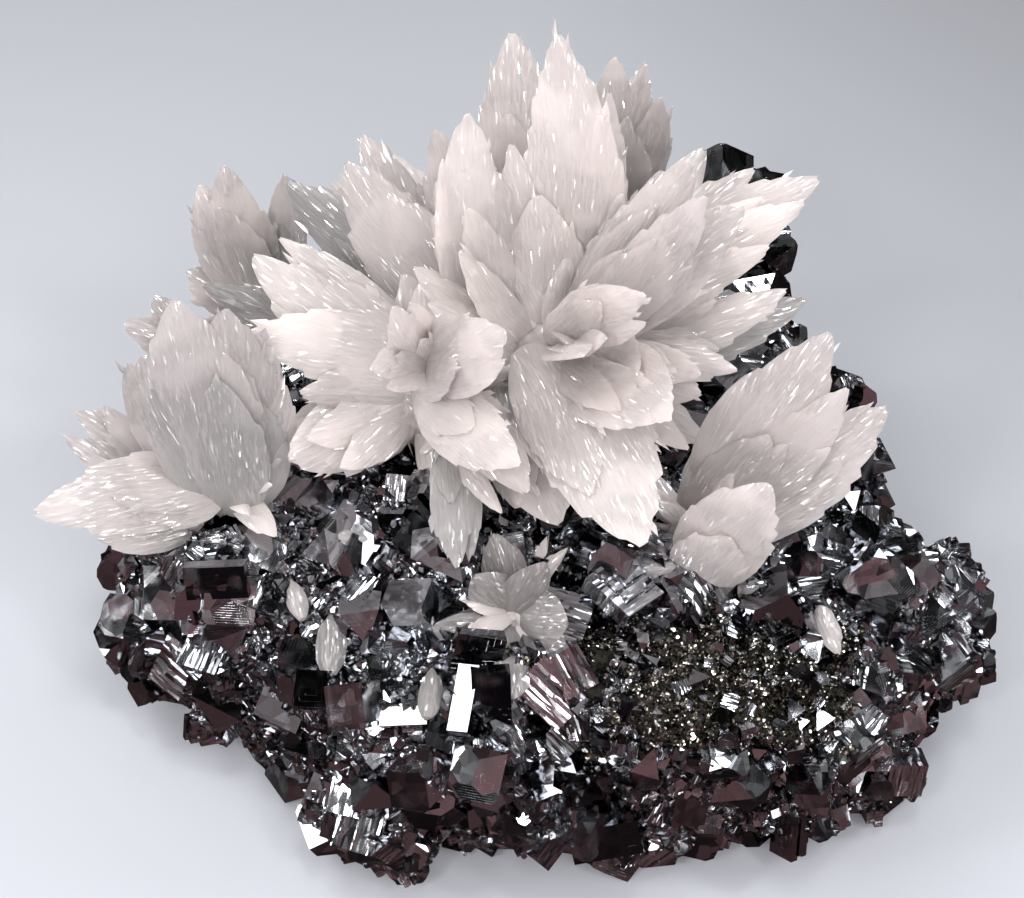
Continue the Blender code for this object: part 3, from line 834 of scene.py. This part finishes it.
# %% Start and apply a geometry tree
def geometry_tree(name, inputs):
    """A new geometry tree, its group input, and the inputs' identifiers."""
    group = bpy.data.node_groups.new(name, "GeometryNodeTree")
    group.interface.new_socket("Geometry", in_out="INPUT", socket_type="NodeSocketGeometry")
    names = {}
    for label, (kind, value) in inputs.items():
        socket = group.interface.new_socket(label, in_out="INPUT", socket_type="NodeSocket" + kind)
        if value is not None:
            socket.default_value = value
        names[label] = socket.identifier
    group.interface.new_socket("Geometry", in_out="OUTPUT", socket_type="NodeSocketGeometry")
    tree = Tree(group)
    return tree, tree.node("NodeGroupInput"), names


def apply_nodes(made, tree, names, values):
    """Runs a geometry tree on an object and keeps its result as a plain mesh."""
    modifier = made.modifiers.new("nodes", "NODES")
    modifier.node_group = tree.tree
    for label, value in values.items():
        modifier[names[label]] = value
    bpy.context.view_layer.update()
    graph = bpy.context.evaluated_depsgraph_get()
    mesh = bpy.data.meshes.new_from_object(made.evaluated_get(graph))
    made.modifiers.clear()
    made.data = mesh
    return mesh


def random_number(tree, low, high, seed):
    sockets = {"Min": low, "Max": high, "Seed": seed}
    return tree.node("FunctionNodeRandomValue", {"data_type": "FLOAT"}, sockets)["Value"]


def random_vector(tree, reach, seed):
    sockets = {"Min": (-reach,) * 3, "Max": (reach,) * 3, "Seed": seed}
    return tree.node("FunctionNodeRandomValue", {"data_type": "FLOAT_VECTOR"}, sockets)["Value"]


def named(tree, name, kind):
    return tree.node("GeometryNodeInputNamedAttribute", {"data_type": kind}, {"Name": name})["Attribute"]


def euler_rotation(tree, angles):
    return tree.node("FunctionNodeEulerToRotation", None, {"Euler": angles})["Rotation"]


def put_shapes(tree, collection, points, rotation, size, seed):
    """A random shape of a collection on each point, turned and scaled."""
    inside = {"Collection": collection, "Separate Children": True}
    shapes = tree.node("GeometryNodeCollectionInfo", None, inside)["Instances"]
    numbers = {"Min": 0, "Max": len(collection.objects) - 1, "Seed": seed}
    choice = tree.node("FunctionNodeRandomValue", {"data_type": "INT"}, numbers)["Value"]
    scale = tree.node("ShaderNodeCombineXYZ", None, {"X": size, "Y": size, "Z": size})["Vector"]
    sockets = {
        "Points": points, "Instance": shapes, "Pick Instance": True, "Instance Index": choice,
        "Rotation": rotation, "Scale": scale,
    }
    return tree.node("GeometryNodeInstanceOnPoints", None, sockets)["Instances"]


def real_mesh(tree, instances):
    return tree.node("GeometryNodeRealizeInstances", None, {"Geometry": instances})["Geometry"]


def coat(tree, geometry, material, chosen=True):
    """Geometry with a material on the chosen faces."""
    sockets = {"Geometry": geometry, "Selection": chosen, "Material": material}
    return tree.node("GeometryNodeSetMaterial", None, sockets)["Geometry"]


def turn_more(tree, rotation, angles):
    """A rotation that is turned further, about its own axes."""
    sockets = {"Rotation": rotation, "Rotate By": euler_rotation(tree, angles)}
    return tree.node("FunctionNodeRotateRotation", {"rotation_space": "LOCAL"}, sockets)["Rotation"]


# %% [markdown]
# ## Splinters lie along the blade
#
# Each point gets a rotation in two steps: Z up from the surface, then Y along `flow`. The tree also gives
# the blades their two materials, milky or clear, by the stored value `tint`.

# %% Build the splinter tree
CLEAR_FROM = 0.47  # the tint from which a blade is clear calcite

splinter_tree, given, splinter_names = geometry_tree(
    "splinters",
    {
        "Density": ("Float", 190000.0),
        "Shortest": ("Float", 0.7 * MM),
        "Longest": ("Float", 3.6 * MM),
        "Seed": ("Int", 1),
        "Milky": ("Material", None),
        "Clear": ("Material", None),
    },
)
tree = splinter_tree
wanted = given["Density"] * named(tree, "scaly", "FLOAT")
spread = tree.node(
    "GeometryNodeDistributePointsOnFaces",
    {"distribute_method": "RANDOM"},
    {"Mesh": given["Geometry"], "Density": wanted, "Seed": given["Seed"]},
)
upright = tree.node(
    "FunctionNodeAlignRotationToVector", {"axis": "Z"}, {"Vector": spread["Normal"]}
)["Rotation"]
aimed = tree.node(
    "FunctionNodeAlignRotationToVector",
    {"axis": "Y", "pivot_axis": "Z"},
    {"Rotation": upright, "Vector": named(tree, "flow", "FLOAT_VECTOR")},
)["Rotation"]
loose = turn_more(tree, aimed, random_vector(tree, 0.07, 5))
size = given["Shortest"] + (given["Longest"] - given["Shortest"]) * random_number(tree, 0.0, 1.0, 3) ** 1.5
sprinkled = put_shapes(tree, splinter_shapes, spread["Points"], loose, size, 7)
joined = tree.node("GeometryNodeJoinGeometry", None, {"Geometry": real_mesh(tree, sprinkled)})
tree.tree.links.new(given["Geometry"].socket, joined.node.inputs["Geometry"])
milky = coat(tree, joined["Geometry"], given["Milky"])
sockets = {"A": named(tree, "tint", "FLOAT"), "B": CLEAR_FROM}
is_clear = tree.node("FunctionNodeCompare", {"operation": "GREATER_THAN"}, sockets)["Result"]
tree.node("NodeGroupOutput", None, {"Geometry": coat(tree, milky, given["Clear"], is_clear)})
print("splinter tree:", len(tree.tree.nodes), "nodes")

# %% [markdown]
# ## Grow the clusters
#
# Now each cluster is grown: hearts, spray, blades and companions in one mesh, then the splinters. It stands
# for the plain solid of the same name, which is hidden.

# %% Grow every cluster
BLADE_GRID = (38, 10)  # rows and columns on a main blade
COMPANION_GRID = (20, 8)
SPRAY_GRID = (12, 6)
COMPANIONS = 3
HEART_TINT = 0.15
SHARP_ANGLE = math.radians(60)


def grow_cluster(name, cluster, seed):
    """One cluster, grown, sprinkled with splinters and handed to the frame in place of its plain solid."""
    rng = random.Random(seed)
    thickness = cluster.get("thickness", THICKNESS)
    parts = [heart_arrays(centre, radii, HEART_TINT) for centre, radii in cluster["hearts"]]
    for centre, radii in cluster["hearts"]:
        for row in spray_rows(centre, radii, cluster["spray"], rng):
            parts.append(blade_arrays(row, *SPRAY_GRID, rng, thickness))
    for row in cluster["blades"]:
        parts.append(blade_arrays(row, *BLADE_GRID, rng, thickness))
        for extra in companion_rows(row, COMPANIONS, rng):
            parts.append(blade_arrays(extra, *COMPANION_GRID, rng, thickness))
    made = mesh_object(name.replace("calcite_", "grown_"), parts)
    faces_out(made.data)
    made.data.set_sharp_from_angle(angle=SHARP_ANGLE)
    values = {"Milky": milky_calcite, "Clear": clear_calcite, "Seed": seed}
    apply_nodes(made, splinter_tree, splinter_names, values)
    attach(made, "root")
    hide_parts(name)
    triangles = sum(len(face.vertices) - 2 for face in made.data.polygons)
    print("grown:", made.name, len(parts), "parts,", triangles, "triangles")
    return made


for seed, (name, cluster) in enumerate(CLUSTERS.items()):
    grow_cluster(name, cluster, seed + 20)

# %% [markdown]
# ## Single crystals on the galena
#
# A few short lens-shaped calcites lie on the galena by themselves. Each is grown from end to end of its
# solid, so it keeps that solid's place and size.

# %% Grow the single crystals
LOOSE_TINT = {
    "lens_crystal_centre": 0.75,
    "lens_crystal_front": 0.8,
    "lens_crystal_left": 0.7,
    "lens_crystal_rim": 0.5,
    "lens_crystal_pink": 0.45,
    "block_crystal_right": 0.3,
    "block_crystal_centre": 0.6,
}


def long_ends(node):
    """The two points of a solid that lie farthest apart, in millimetres."""
    points = np.array([vert.co[:] for vert in node.data.vertices]) / MM
    gaps = np.linalg.norm(points[:, None] - points[None], axis=-1)
    first, second = np.unravel_index(gaps.argmax(), gaps.shape)
    return points[first], points[second]


rng = random.Random(5)
for name, tint in LOOSE_TINT.items():
    ends = long_ends(cad[name])
    length = np.linalg.norm(ends[0] - ends[1])
    row = (tuple(ends[0]), tuple(ends[1]), length * 0.46, 0, tint)
    parts = [blade_arrays(row, 9, 4, rng, 0.55)]
    for extra in companion_rows(row, COMPANIONS, rng):
        parts.append(blade_arrays(extra, 7, 4, rng, 0.5))
    made = mesh_object(name.replace("crystal", "calcite"), parts)
    faces_out(made.data)
    made.data.shade_flat()
    values = {"Milky": milky_calcite, "Clear": clear_calcite, "Seed": 3, "Longest": 1.4 * MM}
    apply_nodes(made, splinter_tree, splinter_names, values)
    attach(made, "root")
    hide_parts(name)
print("single crystals:", len(LOOSE_TINT))

# %% [markdown]
# ## Where galena crystals can grow
#
# The small crystals sit on the plate's open surface: not on its flat underside, and not in the pockets
# under the calcite and the brown crust. So a copy of the plate loses those faces and carries the scatter.

# %% Cut out the open surface
POCKET = 0.75 * MM
FOOT = 2.2 * MM


def tree_of(objects):
    """One search tree over several meshes."""
    points, faces = [], []
    for part in objects:
        offset = len(points)
        points += [vert.co.copy() for vert in part.data.vertices]
        faces += [[index + offset for index in face.vertices] for face in part.data.polygons]
    return BVHTree.FromPolygons(points, faces)


def open_surface(source, others, name, pocket):
    """A copy of a mesh without its foot and without the faces that lie close to other solids."""
    near = tree_of(others)
    bm = bmesh.new()
    bm.from_mesh(source.data)
    bmesh.ops.remove_doubles(bm, verts=bm.verts, dist=0.001 * MM)
    hidden = []
    for face in bm.faces:
        middle = face.calc_center_median()
        found = near.find_nearest(middle, pocket)
        if middle.z < FOOT or face.normal.z < -0.85 or found[0] is not None:
            hidden.append(face)
    bmesh.ops.delete(bm, geom=hidden, context="FACES")
    return new_object(name, mesh_from(bm, name))


plate = cad["galena_matrix"]
others = [node for name, node in cad.items() if name != "galena_matrix"]
area = sum(face.area for face in plate.data.polygons) / MM**2
print("galena plate:", round(area), "square mm")

# %% [markdown]
# ## Shapes of galena crystals
#
# Galena grows as cubes, cubes with cut corners, and cubes whose faces rise in square steps, because edges
# grow faster than the middles. A few shapes with few faces are enough, since each is turned and scaled
# anew.

# %% Make the galena shapes
galena_shapes = hidden_collection("galena_shapes")


def stepped_object(name, steps, collection):
    """A stack of plates, each (half x, half y, low z, high z, x shift, y shift), as one crystal."""
    bm = bmesh.new()
    for half_x, half_y, low, high, shift_x, shift_y in steps:
        box = Matrix.Translation((shift_x, shift_y, (low + high) / 2)) @ Matrix.Diagonal(
            (half_x * 2, half_y * 2, high - low, 1)
        )
        bmesh.ops.create_cube(bm, size=1.0, matrix=box)
    mesh = mesh_from(bm, name)
    store_spot(mesh)
    new_object(name, mesh, collection)


def broken_cube(cuts):
    """A cube whose eight corners are each cut by their own depth, 0 to 1."""
    points = []
    corners = [(x, y, z) for x in (-1, 1) for y in (-1, 1) for z in (-1, 1)]
    for corner, cut in zip(corners, cuts):
        for axis in range(3):
            point = list(corner)
            point[axis] *= 1 - 2 * cut
            points.append(tuple(point))
    return points


hull_object("a_cube", broken_cube((0.05, 0.0, 0.3, 0.1, 0.0, 0.5, 0.15, 0.0)), galena_shapes)
hull_object("b_cut_cube", broken_cube((0.3, 0.5, 0.2, 0.1, 0.6, 0.25, 0.35, 0.7)), galena_shapes)
hull_object("c_cuboctahedron", broken_cube((0.5, 0.5, 0.45, 0.5, 0.5, 0.4, 0.5, 0.5)), galena_shapes)
hull_object("d_half_cut", broken_cube((0.8, 0.1, 0.4, 0.0, 0.9, 0.6, 0.2, 0.3)), galena_shapes)
wedge = [(-1, -1, -1), (1, -1, -1), (1, 1, -1), (-1, 1, -1), (-1, 0.2, 1), (0.7, 0.9, 0.6), (0.9, -0.9, 0.2)]
hull_object("e_wedge", wedge, galena_shapes)
stepped_object(
    "f_terraces",
    ((1.0, 1.0, -1.0, 0.55, 0, 0), (0.78, 0.78, 0.5, 0.75, 0.1, -0.06), (0.5, 0.52, 0.7, 0.95, 0.16, -0.1)),
    galena_shapes,
)
stepped_object(
    "g_plates",
    (
        (1.2, 0.8, -0.8, -0.35, 0, 0), (1.1, 0.85, -0.38, -0.02, 0.15, 0.05),
        (1.0, 0.7, -0.05, 0.3, -0.1, 0.1), (0.7, 0.62, 0.27, 0.62, 0.12, -0.05),
    ),
    galena_shapes,
)

# %% [markdown]
# ## Scatter the galena
#
# Crystals of one patch share a direction, because they grew as one skeleton, while the next patch is turned
# another way. A Voronoi texture gives every patch its own random turn. One tree makes every size of
# crystal, from different sets of inputs.

# %% Build the galena tree
galena_tree, given, galena_names = geometry_tree(
    "galena_crystals",
    {
        "Spacing": ("Float", 1.5 * MM),
        "Crowding": ("Float", 3e6),
        "Smallest": ("Float", 0.5 * MM),
        "Largest": ("Float", 1.4 * MM),
        "Sink": ("Float", 0.4),
        "Patches": ("Float", 170.0),
        "Disorder": ("Float", 0.3),
        "Seed": ("Int", 1),
        "Material": ("Material", None),
    },
)
tree = galena_tree
spread = tree.node(
    "GeometryNodeDistributePointsOnFaces",
    {"distribute_method": "POISSON"},
    {
        "Mesh": given["Geometry"], "Distance Min": given["Spacing"], "Density Max": given["Crowding"],
        "Density Factor": 1.0, "Seed": given["Seed"],
    },
)
position = tree.node("GeometryNodeInputPosition")["Position"]
patch = tree.node("ShaderNodeTexVoronoi", None, {"Vector": position, "Scale": given["Patches"]})["Color"]
patch_turn = euler_rotation(tree, tree.stretch(patch, (6.28, 3.14, 6.28)))
patch_turn = turn_more(tree, patch_turn, random_vector(tree, 0.16, 11))
free_turn = euler_rotation(tree, random_vector(tree, 3.14, 12))
is_free = tree.node(
    "FunctionNodeRandomValue", {"data_type": "BOOLEAN"}, {"Probability": given["Disorder"], "Seed": 13}
)["Value"]
sockets = {"Switch": is_free, "False": patch_turn, "True": free_turn}
turn = tree.node("GeometryNodeSwitch", {"input_type": "ROTATION"}, sockets)["Output"]
size = given["Smallest"] + (given["Largest"] - given["Smallest"]) * random_number(tree, 0.0, 1.0, 15) ** 2.2
down = tree.scaled(spread["Normal"], size * given["Sink"] * -1.0)
sunk = tree.node("GeometryNodeSetPosition", None, {"Geometry": spread["Points"], "Offset": down})["Geometry"]
grown = put_shapes(tree, galena_shapes, sunk, turn, size, 14)
shaded = tree.node(
    "GeometryNodeStoreNamedAttribute",
    {"data_type": "FLOAT", "domain": "INSTANCE"},
    {"Geometry": grown, "Name": "shade", "Value": random_number(tree, 0.0, 1.0, 16)},
)["Geometry"]
tree.node("NodeGroupOutput", None, {"Geometry": coat(tree, real_mesh(tree, shaded), given["Material"])})
print("galena tree:", len(tree.tree.nodes), "nodes")


# %% [markdown]
# ## Coarse crystals of galena
#
# The galena tree runs once for each kind of crystal, with its own inputs. The coarse crystals come first.
# No crystal may poke through the flat underside, so low points are lifted to it.


# %% Scatter the coarse crystals
def keep_near(made, targets, reach):
    """Deletes the faces of an object that lie farther than a reach from other objects."""
    near = tree_of(targets)
    bm = bmesh.new()
    bm.from_mesh(made.data)
    far = [face for face in bm.faces if near.find_nearest(face.calc_center_median(), reach)[0] is None]
    bmesh.ops.delete(bm, geom=far, context="FACES")
    bm.to_mesh(made.data)
    bm.free()


def scatter(name, source, neighbours, pocket, values, reach=None):
    made = open_surface(source, neighbours, name, pocket)
    if reach:
        keep_near(made, [cad["brown_druse"]], reach)
    mesh = apply_nodes(made, galena_tree, galena_names, values)
    low = [vert for vert in mesh.vertices if vert.co.z < 0]
    for vert in low:
        vert.co.z = 0.0
    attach(made, "root")
    triangles = sum(len(face.vertices) - 2 for face in mesh.polygons)
    print("scattered:", name, triangles, "triangles,", len(low), "points lifted")
    return made


coarse = {
    "Spacing": 2.3 * MM, "Smallest": 0.8 * MM, "Largest": 2.7 * MM, "Sink": 0.6, "Patches": 120.0,
    "Disorder": 0.4, "Seed": 2, "Material": galena_skin,
}
coarse_crystals = scatter("galena_coarse_crystals", plate, others, POCKET, coarse)

# %% [markdown]
# ## Large crystals that catch the eye
#
# A few crystals stand out on the real plate: white strips, black steps, stacks of plates. Random ones can't
# give them, so each has a row: where it stands, its half sizes, and the direction that its face mirrors to
# the viewer, which decides whether it is white, grey or dark. Galena's steps are thin plates, so each
# crystal is a stack.


# %% Set the large crystals
NAMED_CRYSTALS = (
    # name, place in mm, half sizes in mm, what its face mirrors, turn in degrees, steps, shade
    ("black_steps", (-3.2, -26.5, 26.5), (2.3, 2.1, 1.2), (0.30, -0.93, -0.15), -6, 5, 0.1),
    ("white_strip", (-4.6, -30.0, 24.5), (1.0, 3.2, 1.6), (-0.45, 0.10, 0.80), -4, 1, 0.3),
    ("white_strip_flank", (-1.9, -30.2, 24.0), (1.8, 3.0, 1.8), (0.1, -0.95, 0.05), 3, 2, 0.2),
    ("white_low", (3.8, -32.5, 15.5), (2.2, 2.0, 1.5), (-0.45, 0.10, 0.80), 25, 1, 0.3),
    ("brown_rectangle", (-28.4, -18.0, 26.5), (3.0, 1.7, 1.4), (-0.2, -0.95, 0.05), 3, 2, 0.3),
    ("white_right", (29.0, -5.0, 24.0), (1.7, 1.7, 1.4), (-0.45, 0.10, 0.80), 15, 1, 0.3),
    ("plate_stack", (10.8, -19.0, 27.5), (2.6, 2.8, 1.8), (0.35, 0.65, 0.50), 32, 5, 0.9),
    ("plate_stack_left", (5.0, -21.5, 26.0), (2.4, 2.4, 1.6), (0.0, 0.3, 0.9), -20, 4, 0.8),
    ("brown_low", (9.0, -36.0, 9.0), (3.4, 2.0, 1.6), (0.0, -0.97, -0.05), 12, 3, 0.2),
    ("white_band", (-10.2, -31.0, 23.0), (2.3, 0.9, 1.2), (-0.45, 0.10, 0.80), 4, 1, 0.3),
    ("white_upper_left", (-14.0, -15.0, 28.0), (1.1, 1.5, 1.0), (-0.45, 0.10, 0.80), -25, 1, 0.3),
    ("brown_face", (-10.0, -36.0, 14.0), (3.0, 1.6, 1.4), (0.1, -0.97, 0.0), -8, 2, 0.2),
    ("silver_left", (-33.0, -21.0, 17.0), (2.2, 2.6, 1.6), (-0.85, -0.25, 0.30), -30, 3, 0.7),
)
CLEAR_OF_OTHERS = 0.3 * MM
STEP_BACK = 0.22  # how much shorter each plate of a stack is than the one below it


def in_front(place, front):
    """The first point of a search tree that the viewer meets on the way to a place in millimetres."""
    way = (Vector(place) * MM - camera.location).normalized()
    met = front.ray_cast(camera.location, way)[0]
    return (met - way * CLEAR_OF_OTHERS) / MM


def stepped_arrays(place, half, mirrored, turn, steps, shade):
    """A stack of plates whose face mirrors a direction to the viewer. Each plate leaves an L-shaped step."""
    normal = (camera_way + Vector(mirrored).normalized()).normalized()
    up = Vector((0, math.sin(CAMERA_ELEVATION), math.cos(CAMERA_ELEVATION)))
    across = up.cross(normal).normalized()
    matrix = Matrix((across, normal.cross(across), normal)).transposed().to_4x4()
    matrix = Matrix.Translation(place) @ matrix @ Matrix.Rotation(math.radians(turn), 4, "Z")
    matrix = matrix @ Matrix.Diagonal((*half, 1.0))
    points, spots, faces = [], [], []
    for step in range(steps):
        reach = 1 - STEP_BACK * step
        low, high = (-1.0, 0.0) if step == 0 else (-0.1 + 0.12 * (step - 1), 0.12 * step)
        first = len(points)
        for x, y, z in ((x, y, z) for z in (low, high) for y in (-1, 1) for x in (-1, 1)):
            spot = (1 - reach + x * reach, 1 - reach + y * reach, z)
            spots.append(spot)
            points.append(tuple(matrix @ Vector(spot)))
        for face in ((0, 1, 3, 2), (4, 6, 7, 5), (0, 4, 5, 1), (2, 3, 7, 6), (0, 2, 6, 4), (1, 5, 7, 3)):
            faces.append(tuple(first + corner for corner in face))
    count = len(points)
    return np.array(points), faces, {"spot": np.array(spots), "shade": np.full((count, 1), shade)}


front = tree_of([plate, coarse_crystals])
stacks = [stepped_arrays(in_front(row[1], front), *row[2:]) for row in NAMED_CRYSTALS]
large = mesh_object("galena_large_crystals", stacks)
faces_out(large.data)
large.data.shade_flat()
large.data.materials.append(galena_skin)
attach(large, "root")
print("large crystals:", len(NAMED_CRYSTALS))

# %% [markdown]
# ## Fine galena, the brown crust and its dust
#
# Fine galena fills the gaps between the coarse crystals. The crust is the same tree at a tenth of the size,
# so that its crystals glitter as grains do. It has no sharp border: its dust lies on the galena around it,
# and a few crystals of galena stand on it.

# %% Scatter the fine crystals
fine = {
    "Spacing": 1.04 * MM, "Smallest": 0.30 * MM, "Largest": 0.8 * MM, "Sink": 0.3, "Patches": 200.0,
    "Disorder": 0.5, "Seed": 4, "Material": galena_skin,
}
crumbs = {
    "Spacing": 0.25 * MM, "Crowding": 4e7, "Smallest": 0.08 * MM, "Largest": 0.30 * MM, "Sink": 0.1,
    "Patches": 900.0, "Disorder": 0.9, "Seed": 6, "Material": crust_skin,
}
dust = {
    **crumbs, "Spacing": 0.55 * MM, "Crowding": 3e6, "Smallest": 0.14 * MM, "Largest": 0.5 * MM, "Sink": -0.2,
    "Seed": 8,
}
strays = {**fine, "Spacing": 1.5 * MM, "Smallest": 0.3 * MM, "Largest": 1.1 * MM, "Seed": 9}
DUST_REACH = 4.5 * MM
scatter("galena_fine_crystals", plate, others, POCKET, fine)
scatter("brown_crust_crystals", cad["brown_druse"], [plate], 0.5 * MM, crumbs)
scatter("brown_dust_crystals", plate, others, POCKET, dust, DUST_REACH)
scatter("galena_on_crust", cad["brown_druse"], [plate], 0.0, strays)

# %% [markdown]
# ## The ground between the crystals
#
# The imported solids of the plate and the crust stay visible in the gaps, so they get materials of their own.
# The shapes that were scattered are no longer needed.

# %% Coat the ground and clear up
for node, ground in ((plate, ground_skin), (cad["brown_druse"], crust_ground)):
    node.data.materials.clear()
    node.data.materials.append(ground)
for shapes in (splinter_shapes, galena_shapes):
    for shape in list(shapes.objects):
        bpy.data.objects.remove(shape)
    bpy.data.collections.remove(shapes)
print("ground:", ground_skin.name, "and", crust_ground.name)

# %% [markdown]
# ## Floor, sky and lamps
#
# The floor is pale, and its colour is painted darker towards the back and the right: painted shade for light
# that fades there. Galena shows what is around it, so the lamps are a few large soft boxes with dark between
# them: that gives faces that flash white next to faces that stay black. The sky is dim above and warm and
# dark below, as a room is. Light is followed over a few bounces only, and the dim sky isn't sampled as a
# lamp: both save render time and hardly show.

# %% Make the studio
FLOOR_SIZE = 4.0


# Painted shade: the floor's colour darkens towards the back and the right, standing in for light that fades
# there.
def floor_painted_shade_sockets(tree):
    place = tree.parts(tree.place())
    painted_shade_slope = 0.19 - place["Y"] * 2.1 - place["X"].math("MAXIMUM", place["X"], 0.0) * 2.0
    level = painted_shade_slope.math("TANH", painted_shade_slope * 4.0) * 0.24 + 0.36
    return {"Base Color": tree.mix(level, rgb(0.0, 0.0, 0.0), rgb(0.88, 0.91, 1.0)), "Roughness": 0.8}


floor_mesh = bpy.data.meshes.new("floor")
corner = FLOOR_SIZE / 2
corners = [(x * corner, y * corner, 0) for x, y in ((-1, -1), (1, -1), (1, 1), (-1, 1))]
floor_mesh.from_pydata(corners, [], [(0, 1, 2, 3)])
floor_mesh.materials.append(new_material("pale_floor", floor_painted_shade_sockets))
floor = new_object("floor", floor_mesh)
floor.visible_glossy = False


def soft_box(name, place, size, power, colour):
    """A square lamp that looks at the specimen."""
    lamp = bpy.data.lights.new(name, "AREA")
    lamp.shape = "RECTANGLE"
    lamp.size, lamp.size_y = size
    lamp.energy = power
    lamp.color = colour
    made = new_object(name, lamp)
    made.location = place
    made.rotation_euler = (Vector((0, 0, 0.03)) - Vector(place)).to_track_quat("-Z", "Y").to_euler()
    made.visible_camera = False
    return made


PLAIN_WHITE = (1.0, 0.99, 0.98)
soft_box("key", (-0.45, 0.10, 0.80), (0.34, 0.34), 2.1, PLAIN_WHITE)
soft_box("window", (0.35, 0.65, 0.50), (0.40, 0.26), 1.6, (0.94, 0.97, 1.0))
soft_box("left", (-0.85, -0.25, 0.30), (0.10, 0.34), 0.5, (0.96, 0.98, 1.0))
soft_box("right", (0.85, -0.15, 0.35), (0.14, 0.40), 0.8, (0.96, 0.98, 1.0))
soft_box("low_front", (-0.20, -0.90, 0.22), (0.24, 0.10), 0.5, PLAIN_WHITE)
soft_box("low_right", (0.45, -0.80, 0.12), (0.20, 0.10), 0.5, PLAIN_WHITE)
SPARKLE_PLACES = (
    (-0.30, -0.55, 0.75), (0.40, -0.45, 0.75), (-0.80, -0.20, 0.45), (0.75, 0.10, 0.60), (0.05, -0.15, 0.98),
)
for number, place in enumerate(SPARKLE_PLACES):
    soft_box(f"sparkle_{number}", place, (0.12, 0.12), 1.5, PLAIN_WHITE)
FILLS = (
    ("fill_front", (0.0, -1.05, 0.70), 9.9),
    ("fill_top", (0.0, -0.45, 1.2), 7.1),
    ("fill_back", (-0.25, 0.85, 0.85), 3.4),
    ("fill_left", (-1.1, -0.3, 0.60), 2.4),
    ("fill_right", (1.1, -0.3, 0.60), 2.4),
)
for name, place, power in FILLS:
    fill = soft_box(name, place, (1.2, 1.2), power, PLAIN_WHITE)
    fill.visible_glossy = False

world = bpy.data.worlds.new("room")
world.use_nodes = True
world.node_tree.nodes.clear()
sky = Tree(world.node_tree)
direction = sky.node("ShaderNodeTexCoord")["Generated"]
way = sky.parts(direction)
patches = sky.noise(direction, 3.0, 2.0, 0.6)
cool = sky.ramp(patches, (0.42, 0.004), (0.51, 0.015), (0.57, 0.12), (0.67, 0.60))
front_patches = sky.noise(direction, 2.6, 1.0, 0.5)
front_patches = sky.ramp(front_patches, (0.44, 0.0), (0.56, 1.0))
warm = sky.mix(front_patches, rgb(0.008, 0.006, 0.008), rgb(0.28, 0.15, 0.155))
to_the_front = sky.ramp(way["Y"] * -0.5 + 0.5, (0.50, 0.0), (0.62, 1.0))
not_high = sky.ramp(way["Z"], (0.42, 1.0), (0.62, 0.0))
tone = sky.mix(to_the_front * not_high, cool, warm)
below = sky.ramp(way["Z"] * 0.5 + 0.5, (0.40, 1.0), (0.50, 0.0))
tone = sky.mix(below * 0.6, tone, rgb(0.035, 0.024, 0.024))
light = sky.node("ShaderNodeBackground", None, {"Color": tone, "Strength": 1.0})
sky.node("ShaderNodeOutputWorld", None, {"Surface": light["Background"]})
bpy.context.scene.world = world
world.cycles.sampling_method = "NONE"
light_paths = bpy.context.scene.cycles
light_paths.max_bounces = 5
light_paths.diffuse_bounces = 3
light_paths.glossy_bounces = 2
light_paths.transmission_bounces = 4
bpy.context.scene.view_settings.view_transform = "Standard"
